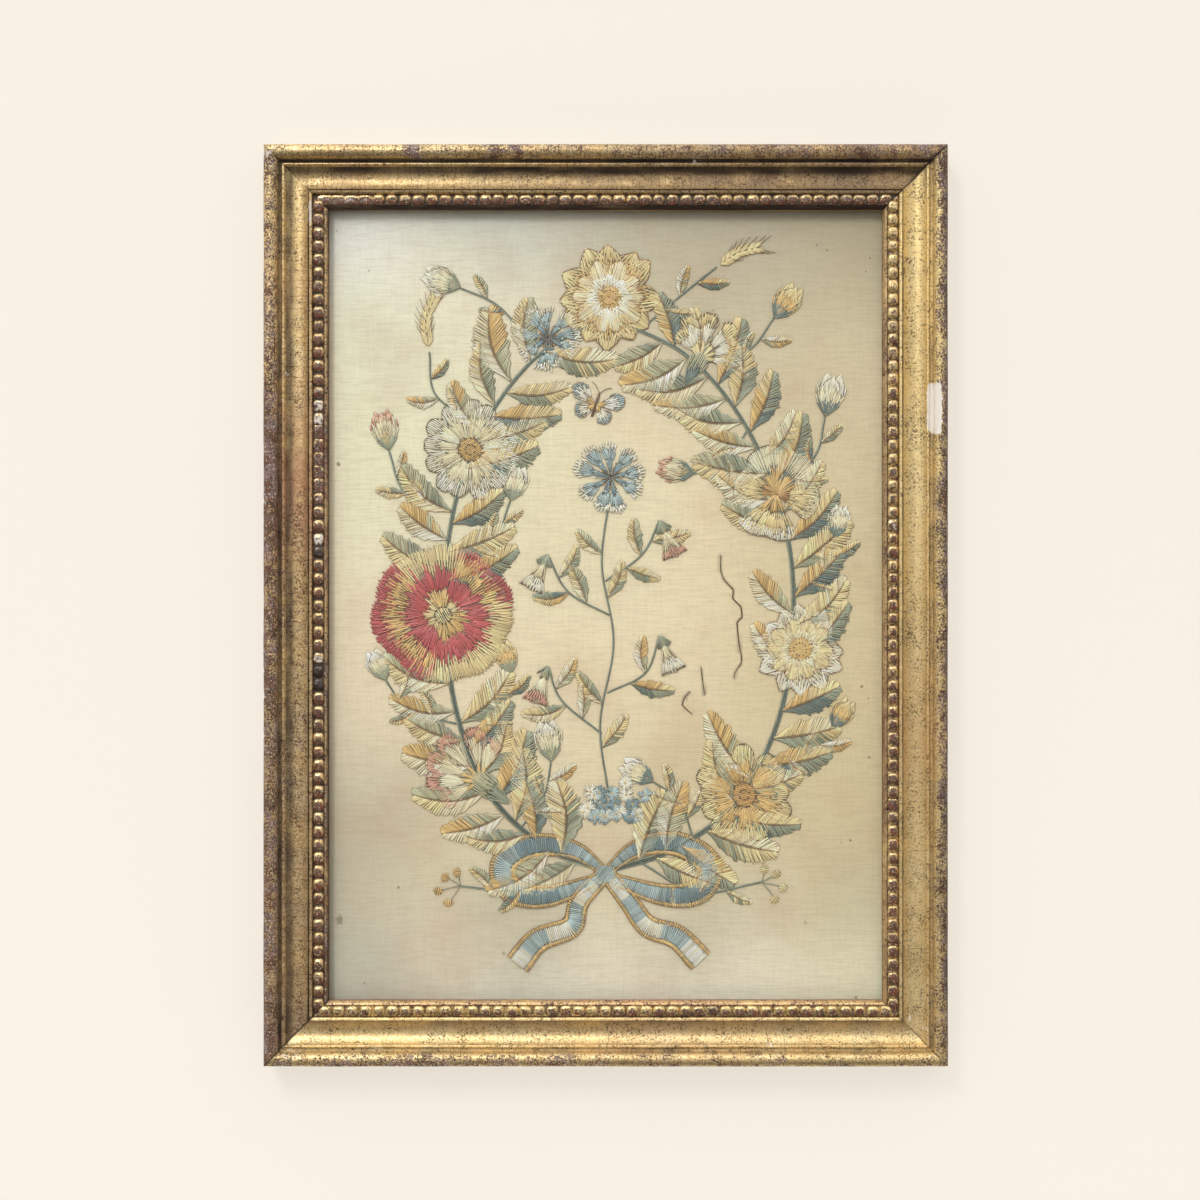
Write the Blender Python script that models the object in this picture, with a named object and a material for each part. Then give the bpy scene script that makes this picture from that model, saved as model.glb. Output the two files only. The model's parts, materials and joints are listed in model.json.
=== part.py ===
"""Needlework picture on silk, glazed in a gilt moulded frame and hung flat on a wall.

Metres, +Z up. The picture faces -Y, X runs to the right across it, and the back of the frame
lies in the plane y = 0. The origin is the middle of the top rail's flat back.

Every piece is drawn in a rail's own frame first: x runs along the rail, y runs inward from
the frame's outer edge, and z stands out from the wall. ON_EDGE then turns it into place.
"""
import math

import bmesh
import bpy

MM = 0.001

# The frame as a whole
FRAME_WIDTH = 400 * MM
FRAME_HEIGHT = 539 * MM
FRAME_DEPTH = 26 * MM
RAIL_WIDTH = 37.2 * MM
GAP = 0.3 * MM

# Rebate behind the sight edge, where glass, silk and board lie
REBATE_FROM = 31.2 * MM
REBATE_FLOOR = 12 * MM

# Moulding, from the outer edge inward
TORUS_RADIUS = 4.2 * MM
QUIRK_WIDTH = 1.8 * MM
QUIRK_FLOOR = 19 * MM
ASTRAGAL_RADIUS = 1.25 * MM
ASTRAGAL_SPRING = 19.7 * MM
COVE_SPRING = 19.4 * MM
COVE_DEPTH = 3.8 * MM
STEP_FROM = 26.1 * MM
STEP_TOP = 19.8 * MM
STEP_RADIUS = 1.9 * MM
CHANNEL_FROM = 28.5 * MM
CHANNEL_FLOOR = 15.8 * MM
LIP_FROM = 34.4 * MM
LIP_TOP = 17 * MM
LIP_LOW = 14.6 * MM

# Strip of beading, a half round glued into the channel
BEAD_RADIUS = 2.5 * MM
BEAD_FOOT = 0.6 * MM

# Sheets in the rebate, from the front
GLASS_THICKNESS = 2 * MM
GLASS_PLAY = 0.4 * MM
AIR_OVER_STITCHES = 1.8 * MM
SILK_THICKNESS = 1 * MM
SILK_PLAY = 1 * MM
BOARD_THICKNESS = 4 * MM
BOARD_PLAY = 0.5 * MM

# Brads that hold the board, and their distances from each rail's middle
BRAD_LENGTH = 11 * MM
BRAD_HEAD_LENGTH = 1.5 * MM
BRAD_HEAD_HALF = 1.6 * MM
BRAD_NECK_HALF = 1.1 * MM
BRAD_TIP_HALF = 0.6 * MM
BRAD_THICKNESS = 1 * MM
BRADS = {
    "top": (-90 * MM, 90 * MM),
    "bottom": (-90 * MM, 90 * MM),
    "left": (-160 * MM, 0, 160 * MM),
    "right": (-160 * MM, 0, 160 * MM),
}

ARC_STEPS = 14

# Heights that follow from the sizes above
TOP_EDGE = REBATE_FROM / 2
BOTTOM_EDGE = TOP_EDGE - FRAME_HEIGHT
MIDDLE = (TOP_EDGE + BOTTOM_EDGE) / 2
GLASS_TOP = REBATE_FLOOR - GAP
SILK_TOP = GLASS_TOP - GLASS_THICKNESS - AIR_OVER_STITCHES
BOARD_TOP = SILK_TOP - SILK_THICKNESS - GAP
BRAD_TOP = BOARD_TOP - BOARD_THICKNESS - GAP

# Rail name: (length, place of its outer edge, turn about Y)
ON_EDGE = {
    "bottom": (FRAME_WIDTH, (0, 0, BOTTOM_EDGE), 0),
    "left": (FRAME_HEIGHT, (-FRAME_WIDTH / 2, 0, MIDDLE), math.pi / 2),
    "top": (FRAME_WIDTH, (0, 0, TOP_EDGE), math.pi),
    "right": (FRAME_HEIGHT, (FRAME_WIDTH / 2, 0, MIDDLE), -math.pi / 2),
}


def material(name, colour, roughness, metallic=0.0, alpha=1.0):
    """A Principled BSDF of one colour."""
    made = bpy.data.materials.new(name)
    made.use_nodes = True
    shader = made.node_tree.nodes["Principled BSDF"]
    shader.inputs["Base Color"].default_value = (*colour, 1.0)
    shader.inputs["Roughness"].default_value = roughness
    shader.inputs["Metallic"].default_value = metallic
    shader.inputs["Alpha"].default_value = alpha
    return made


def arc(centre_y, centre_z, radius, from_degrees, to_degrees, steps=ARC_STEPS):
    """Points of an arc in a section, both ends included."""
    points = []
    for step in range(steps + 1):
        angle = math.radians(from_degrees + (to_degrees - from_degrees) * step / steps)
        points.append((centre_y + radius * math.cos(angle), centre_z + radius * math.sin(angle)))
    return points


def cove(from_y, to_y, spring, depth):
    """A hollow between two points at one height, without those two points."""
    half = (to_y - from_y) / 2
    radius = (half * half + depth * depth) / (2 * depth)
    centre_z = spring - depth + radius
    swing = math.degrees(math.asin(half / radius))
    return arc(from_y + half, centre_z, radius, 270 - swing, 270 + swing)[1:-1]


def moulding_section():
    """The rail's section as (inward, outward from the wall), clockwise from the wall."""
    astragal_from = 2 * TORUS_RADIUS + QUIRK_WIDTH
    astragal_to = astragal_from + 2 * ASTRAGAL_RADIUS
    section = [(0, 0)]
    section += arc(TORUS_RADIUS, FRAME_DEPTH - TORUS_RADIUS, TORUS_RADIUS, 180, 0)
    section += [(2 * TORUS_RADIUS, QUIRK_FLOOR), (astragal_from, QUIRK_FLOOR)]
    section += arc(astragal_from + ASTRAGAL_RADIUS, ASTRAGAL_SPRING, ASTRAGAL_RADIUS, 180, 0)
    section += [(astragal_to, COVE_SPRING)]
    section += cove(astragal_to, STEP_FROM, COVE_SPRING, COVE_DEPTH)
    section += [(STEP_FROM, COVE_SPRING), (STEP_FROM, STEP_TOP)]
    section += arc(CHANNEL_FROM - STEP_RADIUS, STEP_TOP - STEP_RADIUS, STEP_RADIUS, 90, 0, 6)
    section += [(CHANNEL_FROM, CHANNEL_FLOOR), (LIP_FROM, CHANNEL_FLOOR), (LIP_FROM, LIP_TOP)]
    section += [(RAIL_WIDTH, LIP_LOW), (RAIL_WIDTH, REBATE_FLOOR)]
    section += [(REBATE_FROM, REBATE_FLOOR), (REBATE_FROM, 0)]
    return section


def beading_section():
    """The bead strip's section: a half round on a short straight foot."""
    middle = (CHANNEL_FROM + LIP_FROM) / 2
    foot = CHANNEL_FLOOR + GAP
    section = [(middle - BEAD_RADIUS, foot)]
    section += arc(middle, foot + BEAD_FOOT, BEAD_RADIUS, 180, 0)
    section += [(middle + BEAD_RADIUS, foot)]
    return section


def brad_outline():
    """A cut brad seen from behind, as (along the rail, inward): tip first, head last."""
    tip = REBATE_FROM + GAP
    head_from = tip + BRAD_LENGTH - BRAD_HEAD_LENGTH
    side = [(BRAD_TIP_HALF, tip), (BRAD_NECK_HALF, head_from)]
    side += [(BRAD_HEAD_HALF, head_from), (BRAD_HEAD_HALF, tip + BRAD_LENGTH)]
    return side + [(-x, y) for x, y in reversed(side)]


def solid_between(name, first, last):
    """A closed mesh between two matching rings of points, with its faces pointing out."""
    mesh = bpy.data.meshes.new(name)
    shape = bmesh.new()
    start = [shape.verts.new(point) for point in first]
    end = [shape.verts.new(point) for point in last]
    for here in range(len(start)):
        after = (here + 1) % len(start)
        shape.faces.new((start[here], start[after], end[after], end[here]))
    shape.faces.new(start[::-1])
    shape.faces.new(end)
    bmesh.ops.recalc_face_normals(shape, faces=shape.faces)
    shape.to_mesh(mesh)
    shape.free()
    return mesh


def add(name, mesh, finish, place=(0, 0, 0), turn=0.0, round_edges=False):
    """Put a mesh drawn in a rail's frame into the picture."""
    mesh.materials.append(finish)
    if round_edges:
        mesh.shade_smooth()
        mesh.set_sharp_from_angle(angle=math.radians(35))
    piece = bpy.data.objects.new(name, mesh)
    bpy.context.scene.collection.objects.link(piece)
    piece.location = place
    piece.rotation_euler = (math.pi / 2, turn, 0)
    piece.parent = picture
    return piece


def mitred(name, section, length):
    """A section run along a rail and cut at 45 degrees, half the joint's gap short each end."""
    short = GAP / math.sqrt(2)
    left = [(-(length / 2 - y - short), y, z) for y, z in section]
    right = [(length / 2 - y - short, y, z) for y, z in section]
    return solid_between(name, left, right)


def sheet(name, finish, play, top, thickness):
    """A flat sheet lying in the rebate with some play all round."""
    half = FRAME_WIDTH / 2 - REBATE_FROM - play
    low = REBATE_FROM + play
    high = FRAME_HEIGHT - low
    corners = [(-half, low), (half, low), (half, high), (-half, high)]
    back = [(x, y, top - thickness) for x, y in corners]
    front = [(x, y, top) for x, y in corners]
    add(name, solid_between(name, back, front), finish, ON_EDGE["bottom"][1])


def rails(gilding, beading):
    """Four mitred rails, each with its strip of beading."""
    for side, (length, place, turn) in ON_EDGE.items():
        rail = mitred(f"rail_{side}", moulding_section(), length)
        add(f"rail_{side}", rail, gilding, place, turn, round_edges=True)
        strip = mitred(f"beading_{side}", beading_section(), length)
        add(f"beading_{side}", strip, beading, place, turn, round_edges=True)


def brads(steel):
    """Brads pressed into the rebate's wall behind the board."""
    outline = brad_outline()
    for side, places in BRADS.items():
        _, place, turn = ON_EDGE[side]
        for number, along in enumerate(places, start=1):
            low = [(x + along, y, BRAD_TOP - BRAD_THICKNESS) for x, y in outline]
            high = [(x + along, y, BRAD_TOP) for x, y in outline]
            name = f"brad_{side}_{number}"
            add(name, solid_between(name, low, high), steel, place, turn)


for old in list(bpy.data.objects):
    bpy.data.objects.remove(old)

picture = bpy.data.objects.new("picture", None)
bpy.context.scene.collection.objects.link(picture)

rails(
    gilding=material("gilding", (0.55, 0.37, 0.17), 0.42, metallic=0.8),
    beading=material("worn_gilding", (0.36, 0.2, 0.1), 0.5, metallic=0.6),
)
sheet("glass_pane", material("glass", (0.93, 0.96, 0.95), 0.05, alpha=0.15),
      GLASS_PLAY, GLASS_TOP, GLASS_THICKNESS)
sheet("silk_panel", material("silk", (0.61, 0.53, 0.37), 0.6),
      SILK_PLAY, SILK_TOP, SILK_THICKNESS)
sheet("backboard", material("pine", (0.42, 0.27, 0.14), 0.8),
      BOARD_PLAY, BOARD_TOP, BOARD_THICKNESS)
brads(material("steel", (0.2, 0.18, 0.17), 0.5, metallic=1.0))
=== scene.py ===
# %% [markdown]
# # A silk needlework picture in its gilt frame
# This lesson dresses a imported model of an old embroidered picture: worn water gilding on a
# moulded frame, a row of pressed beads, aged silk under glass, and flowers worked in floss
# silk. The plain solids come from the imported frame. We never move them. We only lay finer
# pieces exactly where they are, so every size below is read from the solids themselves.

import json
import math

import bmesh
import bpy
import numpy as np
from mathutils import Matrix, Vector

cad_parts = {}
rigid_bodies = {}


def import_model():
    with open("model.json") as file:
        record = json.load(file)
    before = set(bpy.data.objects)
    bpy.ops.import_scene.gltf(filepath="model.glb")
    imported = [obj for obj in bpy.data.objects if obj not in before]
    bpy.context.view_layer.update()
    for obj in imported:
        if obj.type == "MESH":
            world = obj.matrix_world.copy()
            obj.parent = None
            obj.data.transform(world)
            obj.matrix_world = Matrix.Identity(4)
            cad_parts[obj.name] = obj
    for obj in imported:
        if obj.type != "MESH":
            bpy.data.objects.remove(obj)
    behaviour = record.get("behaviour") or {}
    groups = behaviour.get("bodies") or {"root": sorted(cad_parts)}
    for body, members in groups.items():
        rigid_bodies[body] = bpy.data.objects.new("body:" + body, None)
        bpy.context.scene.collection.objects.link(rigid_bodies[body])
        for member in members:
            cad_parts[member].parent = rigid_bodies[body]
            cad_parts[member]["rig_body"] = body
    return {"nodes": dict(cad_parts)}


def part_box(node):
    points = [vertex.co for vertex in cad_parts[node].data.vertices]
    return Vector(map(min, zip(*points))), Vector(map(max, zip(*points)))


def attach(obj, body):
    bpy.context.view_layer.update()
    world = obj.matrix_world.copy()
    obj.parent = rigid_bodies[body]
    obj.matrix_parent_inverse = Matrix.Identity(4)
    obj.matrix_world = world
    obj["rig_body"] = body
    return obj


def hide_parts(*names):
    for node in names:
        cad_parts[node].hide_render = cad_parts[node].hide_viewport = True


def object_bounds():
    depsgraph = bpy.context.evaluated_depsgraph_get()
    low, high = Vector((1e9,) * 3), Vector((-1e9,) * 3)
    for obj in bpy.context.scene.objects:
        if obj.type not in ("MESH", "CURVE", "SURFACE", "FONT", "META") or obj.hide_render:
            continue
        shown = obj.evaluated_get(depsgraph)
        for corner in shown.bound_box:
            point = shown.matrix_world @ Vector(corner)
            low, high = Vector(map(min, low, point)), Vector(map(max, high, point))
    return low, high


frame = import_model()
cad_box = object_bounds()
SIDES = ("top", "bottom", "left", "right")
MM = 0.001
print("solids:", len(frame["nodes"]))

# %% [markdown]
# ## Where things are
# The picture faces -Y and its back lies on the wall at y = 0. A rail's own box gives its
# width and depth. The beading gives the channel it sits in, and the pane and the silk give
# the heights between which all the needlework has to fit.

# %% Read the sizes
low, high = (Vector(corner) for corner in cad_box)
WIDTH, DEPTH, HEIGHT = high - low
CENTRE_X = (low.x + high.x) / 2
CENTRE_Z = (low.z + high.z) / 2
rail_low, rail_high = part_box("rail_top")
RAIL = rail_high.z - rail_low.z
strip_low, strip_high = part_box("beading_top")
STRIP_FROM = high.z - strip_high.z
STRIP_TO = high.z - strip_low.z
STRIP_FOOT = -strip_high.y
STRIP_TOP = -strip_low.y
pane_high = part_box("glass_pane")[1]
silk_low, silk_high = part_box("silk_panel")
SILK_FACE = -silk_low.y
PANE_BACK = -pane_high.y
PANE_PLAY = 0.4 * MM
REBATE = high.z - pane_high.z - PANE_PLAY
SIGHT_WIDE, SIGHT_TALL = WIDTH - 2 * RAIL, HEIGHT - 2 * RAIL
print(f"frame {WIDTH:.3f} x {HEIGHT:.3f} x {DEPTH:.3f} m, rail {RAIL / MM:.1f} mm")
print(f"silk face {SILK_FACE / MM:.1f} mm out, pane back {PANE_BACK / MM:.1f} mm out")

# %% [markdown]
# ## Camera
# The picture is seen straight on, from a little over a metre. A lens of about 60 mm keeps
# the rails' depth quiet without flattening it.

# %% Camera
VIEW_DISTANCE = 1.15
SEEN_WIDTH = 0.6988
ASIDE, ABOVE = -3.3 * MM, 3.1 * MM
camera_data = bpy.data.cameras.new("camera")
camera_data.sensor_width = 36
camera_data.lens = camera_data.sensor_width * VIEW_DISTANCE / SEEN_WIDTH
camera = bpy.data.objects.new("camera", camera_data)
bpy.context.scene.collection.objects.link(camera)
camera.location = (CENTRE_X + ASIDE, -DEPTH - VIEW_DISTANCE, CENTRE_Z + ABOVE)
camera.rotation_euler = (math.radians(90), 0, 0)
bpy.context.scene.camera = camera
bpy.context.scene.view_settings.view_transform = "Standard"
print(f"lens {camera_data.lens:.1f} mm")

# %% [markdown]
# ## Building meshes from arrays
# Thousands of beads and stitches would be slow one operator at a time. NumPy works out all
# their corners at once, and one helper turns the arrays into a mesh. `rows` welds a grid of
# points into quads, which is how rails, cloth and strands are all made.

# %% Mesh helpers
def new_piece(name, points, quads, finish, smooth=True, triangles=np.empty((0, 3), int)):
    """A mesh object from arrays of points, quads and perhaps triangles, riding on the frame."""
    mesh = bpy.data.meshes.new(name)
    mesh.vertices.add(len(points))
    mesh.vertices.foreach_set("co", np.asarray(points, np.float32).ravel())
    corners = np.concatenate([quads.ravel(), triangles.ravel()]).astype(np.int32)
    mesh.loops.add(len(corners))
    mesh.loops.foreach_set("vertex_index", corners)
    starts = np.concatenate([np.arange(len(quads)) * 4, quads.size + np.arange(len(triangles)) * 3])
    mesh.polygons.add(len(starts))
    mesh.polygons.foreach_set("loop_start", starts.astype(np.int32))
    mesh.update(calc_edges=True)
    mesh.validate()
    if smooth:
        mesh.shade_smooth()
    mesh.materials.append(finish)
    piece = bpy.data.objects.new(name, mesh)
    bpy.context.scene.collection.objects.link(piece)
    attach(piece, "root")
    return piece

# %% Values on points and grids of faces
def point_values(piece, name, values, kind="FLOAT"):
    """Store a number, vector or colour on every point, for the material to read."""
    layer = piece.data.attributes.new(name, kind, "POINT")
    field = {"FLOAT": "value", "FLOAT_VECTOR": "vector", "FLOAT_COLOR": "color"}[kind]
    layer.data.foreach_set(field, np.asarray(values, np.float32).ravel())


def rows(count, around, closed):
    """Quads of a grid with `count` rows of `around` points; closed rows meet themselves."""
    spans = around if closed else around - 1
    here = np.arange(count - 1)[:, None] * around + np.arange(spans)[None, :]
    after = np.arange(count - 1)[:, None] * around + (np.arange(spans)[None, :] + 1) % around
    return np.stack([here, after, after + around, here + around], axis=-1).reshape(-1, 4)


print("grids of", len(rows(3, 4, closed=True)), "quads, for three rows of four")

# %% Slow random change
def cloudy(x, y, cell_x, cell_y, seed):
    """Smooth random values from -1 to 1, with cells of the given sizes."""
    table = np.random.default_rng(seed).uniform(-1, 1, (257, 257))
    across, up = np.asarray(x) / cell_x, np.asarray(y) / cell_y
    i, j = np.floor(across).astype(int), np.floor(up).astype(int)
    s, t = across - i, up - j
    s, t = s * s * (3 - 2 * s), t * t * (3 - 2 * t)
    a, b = table[i % 256, j % 256], table[(i + 1) % 256, j % 256]
    c, d = table[i % 256, (j + 1) % 256], table[(i + 1) % 256, (j + 1) % 256]
    return (a * (1 - s) + b * s) * (1 - t) + (c * (1 - s) + d * s) * t


print("cloudy at one place:", round(float(cloudy(0.5, 0.5, 1, 1, 1)), 3))

# %% [markdown]
# ## Writing materials as short recipes
# A material here is a few textures mixed over each other, like coats of paint. `Recipe`
# wraps a node tree so that each coat is one line. Numbers that are the same all over go
# straight on the shader's sockets.

# %% Material helper
def linear(red, green, blue):
    """A colour given as 0 to 255 display values, as the linear light Blender works in."""
    return tuple(((c / 255 + 0.055) / 1.055) ** 2.4 if c > 10 else c / 3295 for c in (red, green, blue))


class Recipe:
    """A Principled material and the nodes that feed it."""

    def __init__(self, name, roughness=0.5, metallic=0.0, **sockets):
        self.material = bpy.data.materials.new(name)
        self.material.use_nodes = True
        self.tree = self.material.node_tree
        self.shader = self.tree.nodes["Principled BSDF"]
        self.shader.inputs["Roughness"].default_value = roughness
        self.shader.inputs["Metallic"].default_value = metallic
        for socket, value in sockets.items():
            self.shader.inputs[socket.replace("_", " ")].default_value = value

    def node(self, kind, **settings):
        made = self.tree.nodes.new(kind)
        for key, value in settings.items():
            setattr(made, key, value)
        return made

    def feed(self, socket, value):
        """Link an output into a socket, or set the socket to a plain value."""
        if isinstance(value, bpy.types.NodeSocket):
            self.tree.links.new(value, socket)
        elif isinstance(value, tuple) and len(value) == 3 and socket.type == "RGBA":
            socket.default_value = (*value, 1)
        else:
            socket.default_value = value

    def place(self, stretch=(1, 1, 1), attribute=None):
        """Positions in metres, or a stored vector, times a stretch."""
        if attribute:
            source = self.node("ShaderNodeAttribute", attribute_name=attribute).outputs["Vector"]
        else:
            source = self.node("ShaderNodeTexCoord").outputs["Object"]
        scale = self.node("ShaderNodeMapping")
        scale.inputs["Scale"].default_value = stretch
        self.feed(scale.inputs["Vector"], source)
        return scale.outputs["Vector"]

    def stored(self, name):
        return self.node("ShaderNodeAttribute", attribute_name=name).outputs["Fac"]

    def noise(self, place, scale, detail=3.0, rough=0.55):
        made = self.node("ShaderNodeTexNoise")
        self.feed(made.inputs["Vector"], place)
        made.inputs["Scale"].default_value = scale
        made.inputs["Detail"].default_value = detail
        made.inputs["Roughness"].default_value = rough
        return made.outputs["Fac"]

    def step(self, value, start, end):
        """0 below start, 1 above end, smooth between."""
        made = self.node("ShaderNodeMapRange", interpolation_type="SMOOTHSTEP")
        made.inputs["From Min"].default_value = start
        made.inputs["From Max"].default_value = end
        self.feed(made.inputs["Value"], value)
        return made.outputs["Result"]

    def math(self, operation, first, second=0.0):
        made = self.node("ShaderNodeMath", operation=operation)
        self.feed(made.inputs[0], first)
        self.feed(made.inputs[1], second)
        return made.outputs[0]

    def coat(self, under, over, cover):
        """One colour laid over another where cover is 1."""
        made = self.node("ShaderNodeMix", data_type="RGBA")
        self.feed(made.inputs["Factor"], cover)
        self.feed(made.inputs[6], under)
        self.feed(made.inputs[7], over)
        return made.outputs[2]

    def blend(self, under, over, cover):
        """One number in place of another where cover is 1."""
        made = self.node("ShaderNodeMix", data_type="FLOAT")
        self.feed(made.inputs["Factor"], cover)
        self.feed(made.inputs[2], under)
        self.feed(made.inputs[3], over)
        return made.outputs[0]

    def bump(self, height, depth):
        made = self.node("ShaderNodeBump")
        made.inputs["Strength"].default_value = 1.0
        made.inputs["Distance"].default_value = depth
        self.feed(made.inputs["Height"], height)
        return made.outputs["Normal"]

    def wear(self, **sockets):
        """Finish: link colour, roughness, metal or normal into the shader."""
        for socket, value in sockets.items():
            self.feed(self.shader.inputs[socket.replace("_", " ")], value)
        return self.material


print("recipes are ready to be written")

# %% [markdown]
# ## Wall, floor and light
# The picture hangs on a pale wall with a pale floor well below. The wall shows from the
# front only, and casts no shadow itself, so the back of the picture can be looked at too.
# Part of its paleness is its own glow, which keeps the shadow under the frame soft. An
# upright soft light, high on the left, does what a window does, and the sky fills the rest.

# %% Backdrop
WALL_COLOUR = linear(249, 243, 232)
GLOW_SHARE, GLOW_STRENGTH = 0.66, 0.99


def flat(name, corners, finish):
    """One big quad that isn't part of the picture."""
    piece = new_piece(name, np.array(corners, float), np.array([[0, 1, 2, 3]]), finish, smooth=False)
    piece.parent = None
    del piece["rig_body"]
    return piece

# %% Wall paint
plaster = Recipe("wall_paint", roughness=0.9, Base_Color=(*WALL_COLOUR, 1))
glow = plaster.node("ShaderNodeEmission")
glow.inputs["Color"].default_value = (*WALL_COLOUR, 1)
glow.inputs["Strength"].default_value = GLOW_STRENGTH
lit = plaster.node("ShaderNodeMixShader")
lit.inputs[0].default_value = GLOW_SHARE
plaster.feed(lit.inputs[1], plaster.shader.outputs[0])
plaster.feed(lit.inputs[2], glow.outputs[0])
one_sided = plaster.node("ShaderNodeMixShader")
plaster.feed(one_sided.inputs[0], plaster.node("ShaderNodeNewGeometry").outputs["Backfacing"])
plaster.feed(one_sided.inputs[1], lit.outputs[0])
plaster.feed(one_sided.inputs[2], plaster.node("ShaderNodeBsdfTransparent").outputs[0])
plaster.feed(plaster.node("ShaderNodeOutputMaterial", is_active_output=True).inputs[0], one_sided.outputs[0])
print("wall paint glows by", GLOW_SHARE)

# %% Wall and floor pieces
WALL_REACH = 4.0
FLOOR_FORWARD = 1.3
WALL_BEHIND = 0.6 * MM
FLOOR_DROP = 1.1
floor_height = CENTRE_Z - FLOOR_DROP
wall = flat("wall", [(-WALL_REACH, WALL_BEHIND, floor_height), (WALL_REACH, WALL_BEHIND, floor_height),
                     (WALL_REACH, WALL_BEHIND, WALL_REACH), (-WALL_REACH, WALL_BEHIND, WALL_REACH)],
            plaster.material)
wall.visible_shadow = False
# The floor is as wide as the wall and comes a little way forward
boards = Recipe("floor_paint", roughness=0.8, Base_Color=(*linear(232, 226, 215), 1))
floor = flat("floor",
             [(-WALL_REACH, -FLOOR_FORWARD, floor_height), (WALL_REACH, -FLOOR_FORWARD, floor_height),
              (WALL_REACH, WALL_BEHIND, floor_height), (-WALL_REACH, WALL_BEHIND, floor_height)],
             boards.material)
floor.visible_glossy = False
print(f"wall and floor, {2 * WALL_REACH:.0f} m wide, the floor {FLOOR_DROP:.1f} m below the middle")

# %% Lights
# The sky's strength, in two bands, as (from height, to height, from strength, to strength)
SKY_BANDS = ((-0.55, 0.15, 0.05, 0.68), (0.15, 0.9, 0.0, 0.9))
SKY_COLOUR = (1.0, 0.985, 0.95, 1)
WINDOW_POWER = 38.5
WINDOW_PLACE = Vector((-1.2, -2.75, 2.15))
WINDOW_SIZE = (0.6, 0.9)
WINDOW_COLOUR = (1.0, 0.985, 0.96)
sky = bpy.data.worlds.new("sky")
sky.use_nodes = True
air = sky.node_tree
lift = air.nodes.new("ShaderNodeSeparateXYZ")
air.links.new(air.nodes.new("ShaderNodeTexCoord").outputs["Generated"], lift.inputs[0])
total = air.nodes.new("ShaderNodeMath")
for slot, values in enumerate(SKY_BANDS):
    band = air.nodes.new("ShaderNodeMapRange")
    for socket, value in zip(("From Min", "From Max", "To Min", "To Max"), values):
        band.inputs[socket].default_value = value
    air.links.new(lift.outputs["Z"], band.inputs["Value"])
    air.links.new(band.outputs[0], total.inputs[slot])
air.links.new(total.outputs[0], air.nodes["Background"].inputs["Strength"])
air.nodes["Background"].inputs["Color"].default_value = SKY_COLOUR
bpy.context.scene.world = sky


def softbox(name, place, aim, size, power, colour):
    """An upright area light that faces a point."""
    data = bpy.data.lights.new(name, "AREA")
    data.shape = "RECTANGLE"
    data.size, data.size_y = size
    data.energy = power
    data.color = colour
    lamp = bpy.data.objects.new(name, data)
    bpy.context.scene.collection.objects.link(lamp)
    lamp.location = place
    lamp.rotation_euler = (Vector(aim) - Vector(place)).to_track_quat("-Z", "Y").to_euler()


middle = Vector((CENTRE_X, 0, CENTRE_Z))
softbox("window", middle + WINDOW_PLACE, middle, WINDOW_SIZE, WINDOW_POWER, WINDOW_COLOUR)
print("window light", WINDOW_POWER, "W, sky bands", SKY_BANDS)

# %% [markdown]
# ## The moulding
# A framer runs one moulding through a plane and cuts it into four mitred rails. The section
# here is the solids' own, drawn finer and with its arrises softened as two centuries of
# dusting leave them: a half-round roll outside, a dark quirk, a small bead, the wide hollow,
# a rounded step down to the beading, and the lip that holds the glass.

# %% The rail's section
ROLL = 4.2 * MM
QUIRK = 1.8 * MM
SMALL_BEAD = 1.0 * MM
HOLLOW_DEPTH = 3.8 * MM
STEP_AT = 26.1 * MM
STEP_ROUND = 1.7 * MM
LIP_HIGH = 17.0 * MM
LIP_EDGE = 14.6 * MM
LIP_BACK = 12.0 * MM
QUIRK_FLOOR = DEPTH - 7 * MM
HOLLOW_SPRING = DEPTH - 6.6 * MM
STRIP_FLOOR = STRIP_FOOT - 0.3 * MM
CHANNEL = 6.6 * MM
channel_from = (STRIP_FROM + STRIP_TO) / 2 - CHANNEL / 2
channel_to = channel_from + CHANNEL


def arc(y, z, radius, start, end, count):
    turn = np.radians(np.linspace(start, end, count))
    return np.stack([y + radius * np.cos(turn), z + radius * np.sin(turn)], axis=1)


def line(start, end, count):
    return np.linspace(start, end, count)


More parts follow.
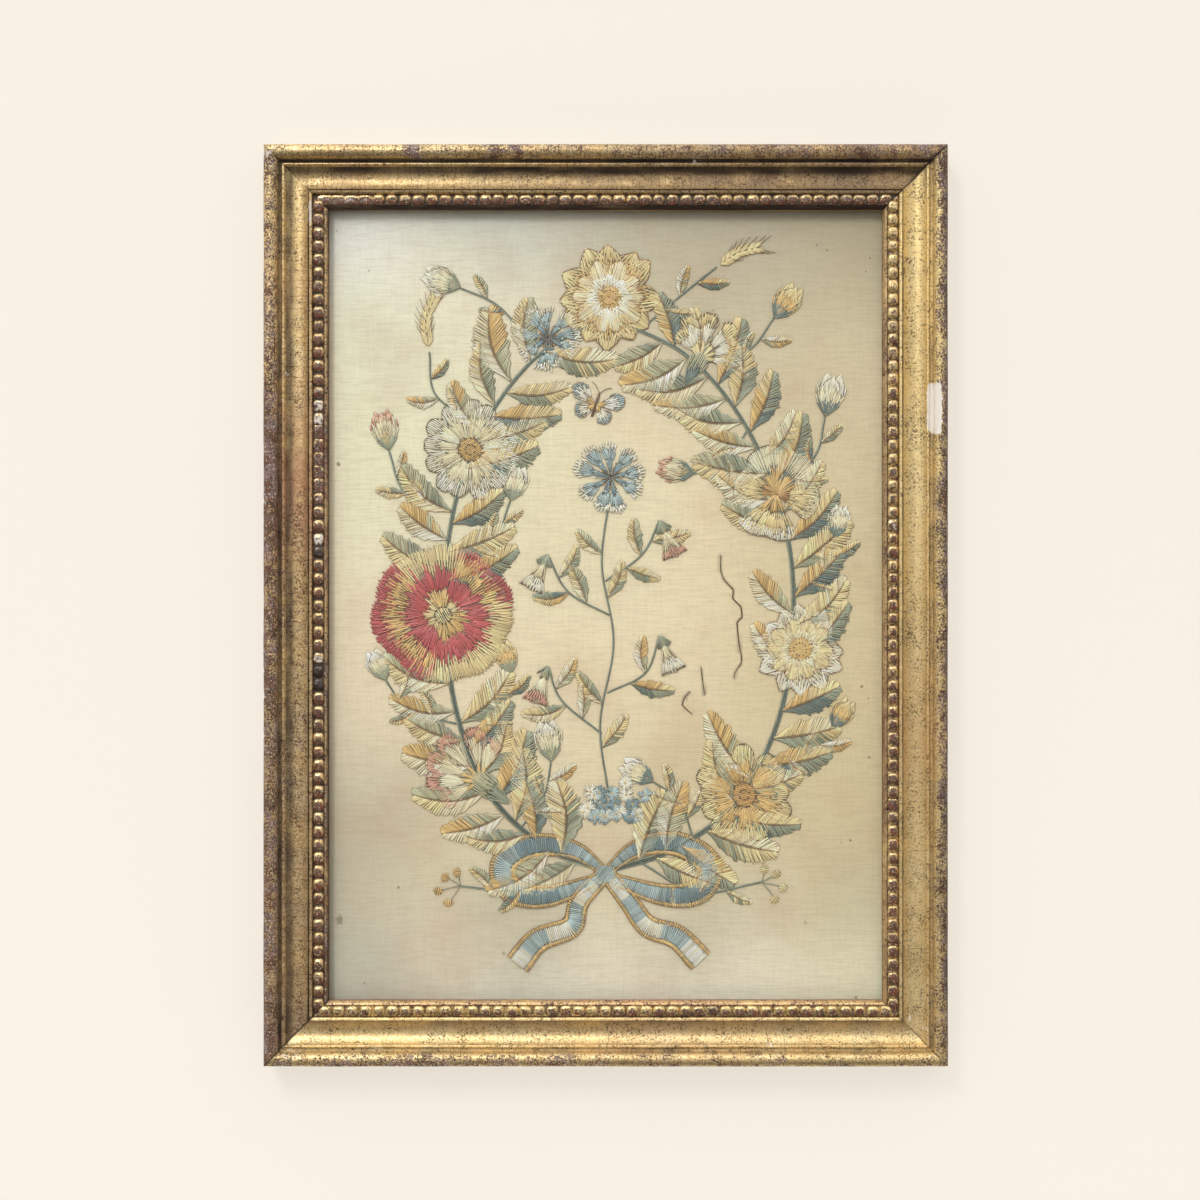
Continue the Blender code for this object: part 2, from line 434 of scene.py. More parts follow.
def section_parts():
    """Named stretches of the section, as (inward, outward) points from the wall round."""
    bead_at = 2 * ROLL + QUIRK + SMALL_BEAD
    hollow_from = bead_at + SMALL_BEAD
    half = (STEP_AT - hollow_from) / 2
    radius = (half ** 2 + HOLLOW_DEPTH ** 2) / (2 * HOLLOW_DEPTH)
    swing = math.degrees(math.asin(half / radius))
    top = DEPTH - 7.0 * MM
    return [
        ("side", line((0, 0), (0, DEPTH - ROLL), 8)[:-1]),
        ("roll", arc(ROLL, DEPTH - ROLL, ROLL, 180, -10, 21)),
        ("quirk", line((2 * ROLL + 0.1 * MM, QUIRK_FLOOR + 0.2 * MM),
                       (2 * ROLL + QUIRK - 0.4 * MM, QUIRK_FLOOR), 4)),
        ("bead", arc(bead_at, HOLLOW_SPRING + 0.3 * MM, SMALL_BEAD, 190, 10, 9)),
        ("hollow", arc(hollow_from + half, HOLLOW_SPRING - HOLLOW_DEPTH + radius, radius,
                       270 - swing, 270 + swing, 17)[1:-1]),
        ("step", np.concatenate([line((STEP_AT, HOLLOW_SPRING), (STEP_AT + 0.2 * MM, top), 2),
                                 arc(channel_from - STEP_ROUND, top - STEP_ROUND, STEP_ROUND, 85, 0, 7)])),
        ("channel", line((channel_from + 0.1 * MM, STRIP_FLOOR), (channel_to - 0.1 * MM, STRIP_FLOOR), 5)),
        ("lip", np.array([(channel_to, LIP_HIGH - 0.4 * MM), (channel_to + 0.25 * MM, LIP_HIGH),
                          (channel_to + 0.8 * MM, LIP_HIGH - 0.1 * MM),
                          (channel_to + 1.7 * MM, LIP_HIGH - 1.1 * MM),
                          (RAIL - 0.35 * MM, LIP_EDGE + 0.25 * MM), (RAIL, LIP_EDGE - 0.3 * MM)])),
        ("bare", np.array([(RAIL, LIP_BACK), (REBATE, LIP_BACK), (REBATE, 0), (REBATE / 2, 0)])),
    ]


PARTS = section_parts()
SECTION = np.concatenate([points for _, points in PARTS])
PART_OF = np.concatenate([[name] * len(points) for name, points in PARTS])
ACROSS = np.concatenate([[0], np.cumsum(np.linalg.norm(np.diff(SECTION, axis=0), axis=1))])
print(len(SECTION), "points round the section,", f"{ACROSS[-1] / MM:.0f} mm of it")

# %% [markdown]
# ## Wear and painted shade, kept as numbers on every point
# Where old gilding is rubbed, chipped or dirty follows from the shape: rolls lose their leaf
# to the red clay and grey dirt, quirks hold grime, and knocks break out to white gesso.
# Painted shade is stored with the grime where the moulding turns away from the light. Each
# rail stores seven numbers per point, and the gilding recipe reads them: rub, grime with
# painted shade, gesso, crackle, film for dull patches, sun for pale ones and blush for thin
# leaf. Chips also dent the surface, so they are real losses and not paint.

# %% Wear values
# Share of the leaf lost, at the left or lower end of each rail and at its other end
RUBBED = {"top": (0.44, 0.84), "bottom": (0.66, 0.64), "left": (0.94, 0.74), "right": (0.66, 0.7)}
PART_RUB = {"side": 0.8, "roll": 1.0, "quirk": 0.7, "bead": 0.7, "hollow": 0.56, "step": 0.66,
            "channel": 1.1, "lip": 0.9, "bare": 0.5}
# From the outer side of the part to its inner side
ROLL_RUB = {"top": (1.05, 0.95), "bottom": (1.35, 0.75), "left": (1.08, 0.94), "right": (1.55, 0.7)}
# Painted shade on the roll's outer side, strongest on the right rail, whose outer side faces away from the
# light
ROLL_SHADE = {"top": 0.0, "bottom": 0.1, "left": 0.1, "right": 0.7}
# Dirt and painted shade in the quirk; painted shade over the lip's width, on the hollow's
# outer slope and as a shadow line by the step, darkest on the top and left rails, which the
# light from the upper left leaves in shade; and dirt at the two mitres
QUIRK_GRIME_AND_SHADE = {"top": 0.9, "bottom": 0.5, "left": 0.7, "right": 0.5}
LIP_SHADE = {"top": (0.8, 1.0), "bottom": (0.1, 0.25), "left": (-0.3, 1.0), "right": (0.4, 0.5)}
HOLLOW_SHADE = {"top": 0.76, "bottom": 0.1, "left": 0.62, "right": 0.0}
STEP_SHADOW_LINE = {"top": 0.85, "bottom": 0.5, "left": 0.8, "right": 0.62}
MITRE_GRIME = {"top": (0.22, 0.75), "bottom": (0.66, 0.4), "left": (0.66, 0.22), "right": (0.4, 0.75)}
# Dull film and pale leaf from one end of the rail to the other, and film across the hollow
FILM = {"top": (-0.25, 0.9), "bottom": (0.0, 0.0), "left": (0.75, -0.2), "right": (0.15, 0.0)}
HOLLOW_FILM = {"top": (0.4, 0.15), "bottom": (-0.4, 1.0), "left": (0.0, 0.0), "right": (0.0, 0.1)}
SUN = {"top": (0.5, -0.2), "bottom": (0.6, 0.6), "left": (0.0, 0.6), "right": (0.6, 1.0)}
CRACKLE = {"top": 1.2, "bottom": 0.45, "left": 0.75, "right": 0.35}
# Stretches of thin leaf, through which the clay glows, as (rail, along, half length, strength)
THIN_LEAF = [("left", 66, 54, 0.85), ("left", 190, 26, 0.3), ("top", -150, 20, 0.25), ("right", -70, 40, 0.3),
             ("bottom", 30, 60, 0.2)]
# Thin leaf all along the lip, and stretches where the roll is rubbed barer than elsewhere
LIP_BLUSH = {"top": 0.0, "bottom": 0.45, "left": 0.2, "right": 0.5}
BARE_ROLL = [("left", 82, 44, 0.32), ("left", -20, 18, 0.1), ("top", -112, 5, 0.5), ("top", -65, 5, 0.5),
             ("top", -52, 4, 0.4), ("right", 60, 60, 0.15), ("bottom", -120, 20, 0.15)]
print(len(THIN_LEAF), "stretches of thin leaf,", len(BARE_ROLL), "of bare roll")

# %% Knocks
# Knocks as (rail, along, inward, half length, half width, depth, whiteness), in millimetres
KNOCKS = [
    ("right", 115.3, 8.0, 14.9, 4.1, 0.3, 1.0),
    ("right", -242, 21.5, 2.4, 0.7, 0.15, 0.9),
    ("right", -248, 12.0, 0.8, 3.0, 0.2, 0.6),
    ("right", -60, 24.0, 0.7, 1.6, 0.2, 0.7),
    ("left", 231, 27.0, 7.4, 1.5, 0.4, 0.58),
    ("left", 264, 3.4, 3.5, 3.8, 0.25, 0.46),
    ("left", 136, 13.0, 2.0, 1.2, 0.2, 0.5),
    ("left", 60, 0.9, 2.0, 0.9, 0.3, 0.5),
    ("left", -38, 0.7, 1.4, 0.8, 0.3, 0.55),
    ("left", -53, 0.7, 2.0, 0.8, 0.4, 0.5),
    ("left", -76, 0.7, 1.6, 0.8, 0.3, 0.55),
    ("top", -194, 3.6, 3.4, 3.0, 0.2, 0.44),
    ("top", -112, 3.0, 3.4, 2.4, 0.3, 0.36),
    ("top", 52, 9.8, 1.6, 1.2, 0.3, 0.8),
    ("top", 166, 2.6, 0.6, 1.6, 0.3, 0.5),
    ("top", 170, 3.4, 0.7, 2.0, 0.35, 0.62),
    ("top", 179, 2.4, 0.5, 1.8, 0.3, 0.5),
    ("bottom", -184, 9.0, 6.0, 5.0, 0.25, 0.44),
    ("bottom", -134, 10.4, 5.0, 0.7, 0.2, 0.56),
    ("bottom", 96, 12.0, 2.6, 1.1, 0.2, 0.5),
]


print(len(KNOCKS), "knocks")

# %% Places on a rail
def on_rail(side, along, inward, out):
    """A point on a rail in the row frame; along runs left to right, or upward."""
    along, inward, out = np.broadcast_arrays(along, inward, out)
    if side == "top":
        return np.stack([CENTRE_X + along, -out, high.z - inward], axis=-1)
    if side == "bottom":
        return np.stack([CENTRE_X + along, -out, low.z + inward], axis=-1)
    if side == "left":
        return np.stack([low.x + inward, -out, CENTRE_Z + along], axis=-1)
    return np.stack([high.x - inward, -out, CENTRE_Z + along], axis=-1)


def outward_normals():
    """Unit normals of the section, pointing out of the wood."""
    before, after = np.roll(SECTION, 1, axis=0), np.roll(SECTION, -1, axis=0)
    run = after - before
    normal = np.stack([-run[:, 1], run[:, 0]], axis=1)
    return normal / np.linalg.norm(normal, axis=1, keepdims=True)


def knocked(side, along, inward):
    """How deep each point is knocked in, and how much white gesso shows there."""
    depth, white = np.zeros(along.shape), np.zeros(along.shape)
    for number, (rail, at, over, half_long, half_wide, deep, pale) in enumerate(KNOCKS):
        if rail != side:
            continue
        ragged = 1 + min(0.22, 0.5 / half_wide) * cloudy(along, inward, 1.7 * MM, 1.3 * MM, 50 + number)
        reach = ((np.abs(along - at * MM) / (half_long * MM)) ** 4
                 + (np.abs(inward - over * MM) / (half_wide * MM)) ** 4) ** 0.25
        inside = np.clip((1.08 - reach * ragged) * 6, 0, 1)
        depth = np.maximum(depth, deep * MM * inside)
        white = np.maximum(white, pale * inside)
    return depth, white

# %% Rub and grime at every point
def rub_of(side, share):
    """How much leaf is lost: by rail and place along it, and by part of the section."""
    start, end = RUBBED[side]
    by_part = np.array([PART_RUB[name] for name in PART_OF])
    by_part[PART_OF == "roll"] *= np.linspace(*ROLL_RUB[side], np.sum(PART_OF == "roll"))
    return (start + (end - start) * share[:, None]) * by_part[None, :]


def stretches(places, side, along):
    """How strongly each point lies in the listed stretches of its rail."""
    return sum(strong * np.exp(-((along - at * MM) / (half_long * MM)) ** 2)
               for name, at, half_long, strong in places if name == side)


def along_values(ends, share):
    """A value that changes evenly from one end of a rail to the other."""
    return np.clip(ends[0] + (ends[1] - ends[0]) * share[:, None] + 0 * ACROSS[None, :], 0, 1)


def grime_and_shade_of(side, share, along, length):
    """Grime and painted shade: both in the quirk, painted shade on the roll's outer side, on the lip, under
    the hollow's outer edge and along the step, darker in the channel, and dirt along the mitres.
    """
    grime_and_shade = np.zeros(len(PART_OF))
    grime_and_shade[PART_OF == "quirk"] = 0.9 * QUIRK_GRIME_AND_SHADE[side]
    grime_and_shade[PART_OF == "roll"] = np.linspace(ROLL_SHADE[side], 0, np.sum(PART_OF == "roll"))
    grime_and_shade[PART_OF == "channel"] = 0.4
    grime_and_shade[PART_OF == "lip"] = np.linspace(*LIP_SHADE[side], np.sum(PART_OF == "lip"))
    hollow, step = np.flatnonzero(PART_OF == "hollow"), np.flatnonzero(PART_OF == "step")
    grime_and_shade[hollow] = HOLLOW_SHADE[side] * np.clip(1.75 - np.linspace(0, 3.3, len(hollow)), 0, 1)
    grime_and_shade[hollow[-1]] = grime_and_shade[step[:2]] = STEP_SHADOW_LINE[side]
    grime_and_shade = grime_and_shade[None, :] + 0.12 * cloudy(along, along * 0 + ACROSS, 14 * MM, 3 * MM, 7) * (grime_and_shade > 0)
    to_mitre = (1 - np.abs(2 * share - 1))[:, None] * (length / 2 - SECTION[:, 0][None, :])
    strength = np.where(share < 0.5, *MITRE_GRIME[side])[:, None]
    return np.maximum(grime_and_shade, np.clip(1 - to_mitre / (1.8 * MM), 0, 1) * strength)


for side in SIDES:
    print(side, "rail, mean rub", rub_of(side, np.linspace(0, 1, 5)).mean().round(2))

# %% [markdown]
# ## Old water gilding
# Gold leaf is laid over red clay on white gesso, so that is how the recipe is written. The
# leaf comes first, a warm metal, with a reddish blush where it is thin. Then the clay and
# the grey-purple dirt show where a fine noise falls under the stored rub. Dark hairlines
# cross the rail where the gesso has shrunk on the wood. One dark coat then lays the grime
# in the quirks and the painted shade where the moulding turns from the light, and last
# comes bare gesso where a knock has taken it all away. Roughness and metal follow the same
# masks, so neither dirt nor painted shade shines like gold.

# %% Gilding recipe
LEAF = linear(229, 196, 143)
PALE_LEAF = linear(243, 219, 172)
SUNNY_LEAF = linear(255, 228, 160)
# Near-white specks painted on the leaf and on the clay as glints
PAINTED_GLINT = linear(255, 242, 208)
DEEP_LEAF = linear(160, 126, 84)
CLAY = linear(112, 72, 54)
DIRT = linear(84, 64, 50)
PURPLE_DIRT = linear(142, 122, 122)
DULL = linear(136, 108, 78)
# The dark of grime, cracks and pits, also used for painted shade
GRIME_AND_SHADE = linear(44, 30, 20)
GESSO = linear(240, 233, 224)
BLUSH = linear(208, 156, 124)
print("leaf", tuple(round(c, 2) for c in LEAF), "clay", tuple(round(c, 2) for c in CLAY))

# %% The coats of worn gilding


def gilding(name, clay, bloom, shine, polish=0.62):
    """Worn leaf over clay and dirt; shine and polish are the roughness of leaf and clay."""
    r = Recipe(name, Specular_IOR_Level=1.06 - polish)
    spot = r.place()
    along = r.place(attribute="run")
    broad = r.noise(spot, 45, detail=3)
    cloud = r.noise(spot, 210, detail=3)
    fine = r.noise(spot, 820, detail=3, rough=0.7)
    grain = r.noise(spot, 1050, detail=1)
    leaf = r.coat(LEAF, PALE_LEAF, r.step(broad, 0.45, 0.65))
    leaf = r.coat(leaf, SUNNY_LEAF, r.math("MULTIPLY", r.stored("sun"), 0.72))
    dim = r.math("SUBTRACT", 1.0, r.step(grain, 0.3, 0.58))
    dim = r.math("MULTIPLY", dim, r.step(cloud, 0.25, 0.62))
    leaf = r.coat(leaf, DEEP_LEAF, r.math("MULTIPLY", dim, r.math("SUBTRACT", 1.1, r.stored("sun"))))
    # Painted glints on the leaf
    leaf = r.coat(leaf, PAINTED_GLINT, r.math("MULTIPLY", r.step(grain, 0.54, 0.72), 0.6))
    patchy = r.step(r.math("ADD", broad, r.math("MULTIPLY", cloud, 0.6)), 0.5, 0.85)
    glow = r.math("MULTIPLY", r.stored("blush"), patchy)
    leaf = r.coat(leaf, BLUSH, r.math("MULTIPLY", glow, r.step(grain, 0.2, 0.5)))
    film = r.math("MULTIPLY", r.stored("film"), r.step(broad, 0.2, 0.6))
    leaf = r.coat(leaf, DULL, film)
    speckle = r.math("ADD", r.math("MULTIPLY", r.stored("rub"), 0.46), r.math("MULTIPLY", cloud, 0.4))
    speckle = r.math("ADD", speckle, r.math("MULTIPLY", broad, 0.3))
    lost = r.step(r.math("SUBTRACT", r.math("SUBTRACT", speckle, fine), 0.19), -0.03, 0.07)
    under = r.coat(DIRT, clay, r.step(r.noise(spot, 520, detail=2), 0.44, 0.56))
    bloomed = r.step(r.noise(spot, 110, detail=3, rough=0.65), 0.45, 0.55)
    bloomed = r.math("MULTIPLY", bloomed, r.step(grain, 0.34, 0.6))
    under = r.coat(under, bloom, r.math("MULTIPLY", bloomed, r.step(r.stored("rub"), 0.45, 0.75)))
    # Painted glints on the clay
    under = r.coat(under, PAINTED_GLINT, r.math("MULTIPLY", r.step(grain, 0.6, 0.72), 0.55))
    coat = r.coat(leaf, under, lost)
    swarms = r.math("MULTIPLY", r.noise(spot, 100, detail=1), 0.3)
    pits = r.math("ADD", r.noise(spot, 860, detail=2, rough=0.6), swarms)
    pits = r.step(pits, 0.73, 0.8)
    scars = r.step(r.noise(spot, 250, detail=3, rough=0.75), 0.65, 0.7)
    marks = r.math("MAXIMUM", pits, scars)
    coat = r.coat(coat, GRIME_AND_SHADE, r.math("MULTIPLY", marks, 0.66))
    hairline = crackle_lines(r, spot, along)
    coat = r.coat(coat, GRIME_AND_SHADE, r.math("MULTIPLY", hairline, 0.8))
    # Stored grime and painted shade, laid in one dark coat
    grime_and_shade = r.step(r.math("ADD", r.stored("grime_and_shade"), r.math("MULTIPLY", broad, 0.25)), 0.3, 1.05)
    coat = r.coat(coat, GRIME_AND_SHADE, grime_and_shade)
    white = r.stored("gesso")
    bare = r.step(r.math("ADD", white, r.math("MULTIPLY", r.noise(spot, 520, detail=2), 0.6)), 0.74, 0.84)
    bare = r.math("MULTIPLY", bare, r.step(white, -0.2, 0.9))
    coat = r.coat(coat, GESSO, bare)
    hidden = r.math("MAXIMUM", lost, r.math("MAXIMUM", grime_and_shade, bare))
    sound = r.math("SUBTRACT", 1.0, r.math("MAXIMUM", hidden, film))
    metal = r.math("MULTIPLY", sound, 0.82)
    rough = r.blend(polish, r.math("ADD", r.math("MULTIPLY", broad, 0.12), shine), sound)
    relief = r.bump(r.math("SUBTRACT", fine, r.math("MULTIPLY", lost, 0.5)), 0.13 * MM)
    return r.wear(Base_Color=coat, Metallic=metal, Roughness=rough, Normal=relief)

# %% Hairlines, and the two gildings
def crackle_lines(r, spot, along):
    """Hairlines across the rail, and a faint fine net, both only in patches."""
    lines = r.node("ShaderNodeTexVoronoi", voronoi_dimensions="1D", feature="DISTANCE_TO_EDGE")
    split = r.node("ShaderNodeSeparateXYZ")
    r.feed(split.inputs[0], along)
    sway = r.math("MULTIPLY", r.noise(spot, 120, detail=2), 0.006)
    r.feed(lines.inputs["W"], r.math("ADD", split.outputs[0], sway))
    lines.inputs["Scale"].default_value = 210
    across = r.math("SUBTRACT", 1.0, r.step(lines.outputs["Distance"], 0.008, 0.036))
    open_here = r.math("ADD", r.noise(spot, 95, detail=1), r.math("MULTIPLY", r.stored("crackle"), 0.3))
    across = r.math("MULTIPLY", across, r.step(open_here, 0.6, 0.76))
    net = r.node("ShaderNodeTexVoronoi", feature="DISTANCE_TO_EDGE")
    r.feed(net.inputs["Vector"], spot)
    net.inputs["Scale"].default_value = 520
    fine = r.math("SUBTRACT", 1.0, r.step(net.outputs["Distance"], 0.01, 0.07))
    fine = r.math("MULTIPLY", fine, r.step(r.noise(spot, 60, detail=1), 0.5, 0.66))
    return r.math("MAXIMUM", across, r.math("MULTIPLY", fine, 0.7))


gold = gilding("worn_gilding", CLAY, PURPLE_DIRT, 0.38)
bead_gold = gilding("worn_bead_gilding", linear(120, 66, 46), linear(110, 82, 66), 0.24, 0.28)
print("gilding ready")

# %% [markdown]
# The hidden back is bare pine that has darkened with age: long grain, a few knots and the
# dust of years. One recipe serves the backs of the rails and the board, with the grain
# turned to run along each piece.

# %% Bare pine
def pine(name, stretch, pale, dark):
    r = Recipe(name, roughness=0.78)
    grain = r.noise(r.place(stretch), 30, detail=6, rough=0.65)
    rings = r.noise(r.place(tuple(s * 0.25 for s in stretch)), 16, detail=3)
    streaks = r.math("ADD", r.math("MULTIPLY", grain, 0.6), r.math("MULTIPLY", rings, 0.5))
    coat = r.coat(pale, dark, r.step(streaks, 0.42, 0.75))
    dusty = r.step(r.noise(r.place(), 22, detail=5), 0.5, 0.75)
    coat = r.coat(coat, linear(96, 82, 66), r.math("MULTIPLY", dusty, 0.55))
    return r.wear(Base_Color=coat, Normal=r.bump(grain, 0.25 * MM))


PINE = {
    "top": pine("rail_pine_across", (1, 14, 14), linear(150, 116, 78), linear(104, 74, 46)),
    "left": pine("rail_pine_up", (14, 14, 1), linear(146, 112, 76), linear(98, 70, 44)),
}
PINE["bottom"], PINE["right"] = PINE["top"], PINE["left"]
print("pine for", len(PINE), "rails")

# %% [markdown]
# ## Four rails
# Each rail is a grid: the section at many stations along it, cut to the mitre by shortening
# every line by its distance inward. A few tenths of a millimetre of slow waviness keep the
# highlights from running dead straight, which is what separates old gesso from new plastic.

# %% One rail
MITRE_GAP = 0.14 * MM
STATION = 1.9 * MM


def make_rail(side):
    length = (WIDTH if side in ("top", "bottom") else HEIGHT)
    stations = int(length / STATION)
    share = np.linspace(0, 1, stations)
    inward, out = SECTION[:, 0][None, :], SECTION[:, 1][None, :]
    ends = MITRE_GAP + 0.12 * MM * cloudy(ACROSS, ACROSS * 0, 2.5 * MM, 1, SIDES.index(side))
    along = (2 * share[:, None] - 1) * (length / 2 - inward - ends[None, :])
    worked = (PART_OF != "bare").astype(float)[None, :]
    across = np.broadcast_to(ACROSS[None, :], along.shape)
    seed = 10 * SIDES.index(side)
    wavy = 0.13 * MM * cloudy(along, across, 26 * MM, 5 * MM, seed)
    wavy = wavy + 0.05 * MM * cloudy(along, across, 5 * MM, 2.2 * MM, seed + 1) - 0.1 * MM
    depth, white = knocked(side, along, np.broadcast_to(inward, along.shape))
    move = (wavy - depth) * worked
    normal = outward_normals()
    inward = inward + move * normal[None, :, 0]
    out = np.clip(out + move * normal[None, :, 1], 0, DEPTH)
    points = on_rail(side, along, inward, out).reshape(-1, 3)
    around = len(SECTION)
    rail = new_piece(f"gilt_rail_{side}", points, rows(stations, around, closed=True), gold)
    rail.data.materials.append(PINE[side])
    bare = np.isin(np.arange(around), np.flatnonzero(PART_OF == "bare"))
    backs = np.tile(bare | np.roll(bare, -1), stations - 1)
    rail.data.polygons.foreach_set("material_index", backs.astype(np.int32))
    rub = rub_of(side, share) + 0.1 * cloudy(along, across, 40 * MM, 9 * MM, seed + 2)
    point_values(rail, "rub", rub + stretches(BARE_ROLL, side, along) * (PART_OF == "roll"))
    film = along_values(FILM[side], share)
    film[:, PART_OF == "hollow"] += np.linspace(*HOLLOW_FILM[side], np.sum(PART_OF == "hollow"))
    point_values(rail, "film", np.clip(film, 0, 0.8))
    blush = stretches(THIN_LEAF, side, along)
    blush[:, PART_OF == "lip"] += LIP_BLUSH[side]
    point_values(rail, "blush", np.clip(blush, 0, 1))
    point_values(rail, "sun", along_values(SUN[side], share))
    point_values(rail, "grime_and_shade", grime_and_shade_of(side, share, along, length))
    point_values(rail, "gesso", white)
    point_values(rail, "crackle", np.full(along.size, CRACKLE[side]))
    point_values(rail, "run", np.stack([along, across, 0 * along], axis=-1), "FLOAT_VECTOR")
    close_and_turn_out(rail)
    rail.data.set_sharp_from_angle(angle=math.radians(42))
    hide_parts(f"rail_{side}")
    return rail

# %% Closed ends, and the four rails
def close_and_turn_out(piece):
    """Cap any open ends and make every face point outward."""
    shape = bmesh.new()
    shape.from_mesh(piece.data)
    open_edges = [edge for edge in shape.edges if edge.is_boundary]
    if open_edges:
        bmesh.ops.holes_fill(shape, edges=open_edges, sides=0)
    bmesh.ops.recalc_face_normals(shape, faces=shape.faces)
    shape.to_mesh(piece.data)
    shape.free()


rails = [make_rail(side) for side in SIDES]
print("rails:", sum(len(rail.data.polygons) for rail in rails), "faces")

# %% [markdown]
# ## The beaded edging
# The squarish beads inside the frame were pressed in a mould from composition, a paste of
# glue, resin and chalk, as thin strips that were glued into a channel and gilded. Every bead
# came out a little different and has been rubbed since, and a few have broken away. So each
# bead here is its own small dome on a thin strip, with its own size, tilt and wear. Its gilt
# is kept on its upper edge as a painted highlight, and shade is painted at its foot and on
# the strip between the beads.

# %% Bead sizes and wear
BEAD_LONG, BEAD_WIDE, BEAD_HIGH = 7.4 * MM, 6.4 * MM, STRIP_TOP - STRIP_FOOT
BEADS = {"top": 43, "bottom": 43, "left": 61, "right": 61}
BEAD_ROUND, BEAD_UP = 20, 7
STRIP_THICK = 0.65 * MM
STRIP_MIDDLE = (STRIP_FROM + STRIP_TO) / 2
# Lost or broken beads as (side, from, to, height left, whiteness, darkness), in millimetres
LOSSES = [
    ("top", -171, -141, 0.3, 0.0, 0.3),
    ("left", 107, 124, 0.6, 0.51, 0.0),
    ("left", 69, 106, 0.3, 0.0, 0.36),
    ("left", 27, 34, 0.5, 0.0, 0.8),
    ("left", 35, 42, 0.8, 0.53, 0.0),
    ("left", -35, -28, 0.8, 0.53, 0.0),
    ("left", -51, -37, 0.5, 0.0, 0.8),
    ("left", 62, 68, 0.5, 0.4, 0.3),
    ("right", 41, 49, 0.8, 0.5, 0.0),
    ("right", -120, -112, 0.6, 0.4, 0.3),
    ("bottom", -30, -23, 0.85, 0.44, 0.0),
    ("bottom", 60, 67, 0.45, 0.1, 0.5),
]
BEAD_RUB = {"top": (1.0, 1.1), "bottom": (0.62, 0.8), "left": (0.95, 1.05), "right": (1.1, 0.45)}
# Leaf lost over a whole bead, more on its face, and less on its upper edge, so the gilt is
# kept on the side the light comes from, a painted highlight
BEAD_LOSS = {"top": (0.42, 0.75, 1.4), "bottom": (0.5, 0.9, 0.7),
             "left": (0.5, 0.85, 1.1), "right": (0.4, 1.1, 0.5)}
# Painted shade on the strip between the beads, darkest on the top and left rails
FLOOR_SHADE = {"top": 0.8, "left": 0.7, "right": 0.12, "bottom": 0.05}
BEAD_SUN = {"top": 0.4, "bottom": 0.9, "left": 0.3, "right": 0.6}


print(len(LOSSES), "places where beads are lost or broken")

# %% The shape of a bead
def bead_dome():
    """A unit bead: rounded square in plan, domed, sides nearly upright at the foot."""
    turn = np.linspace(0, 2 * np.pi, BEAD_ROUND, endpoint=False) + np.pi / BEAD_ROUND
    rise = np.radians(np.linspace(0, 86, BEAD_UP))
    square = 0.62
    plan = np.stack([np.sign(np.cos(turn)) * np.abs(np.cos(turn)) ** square,
                     np.sign(np.sin(turn)) * np.abs(np.sin(turn)) ** square], axis=-1)
    spread = np.cos(rise) ** 0.72
    return plan[None] * spread[:, None, None], np.sin(rise) ** 0.9, spread[:, None]

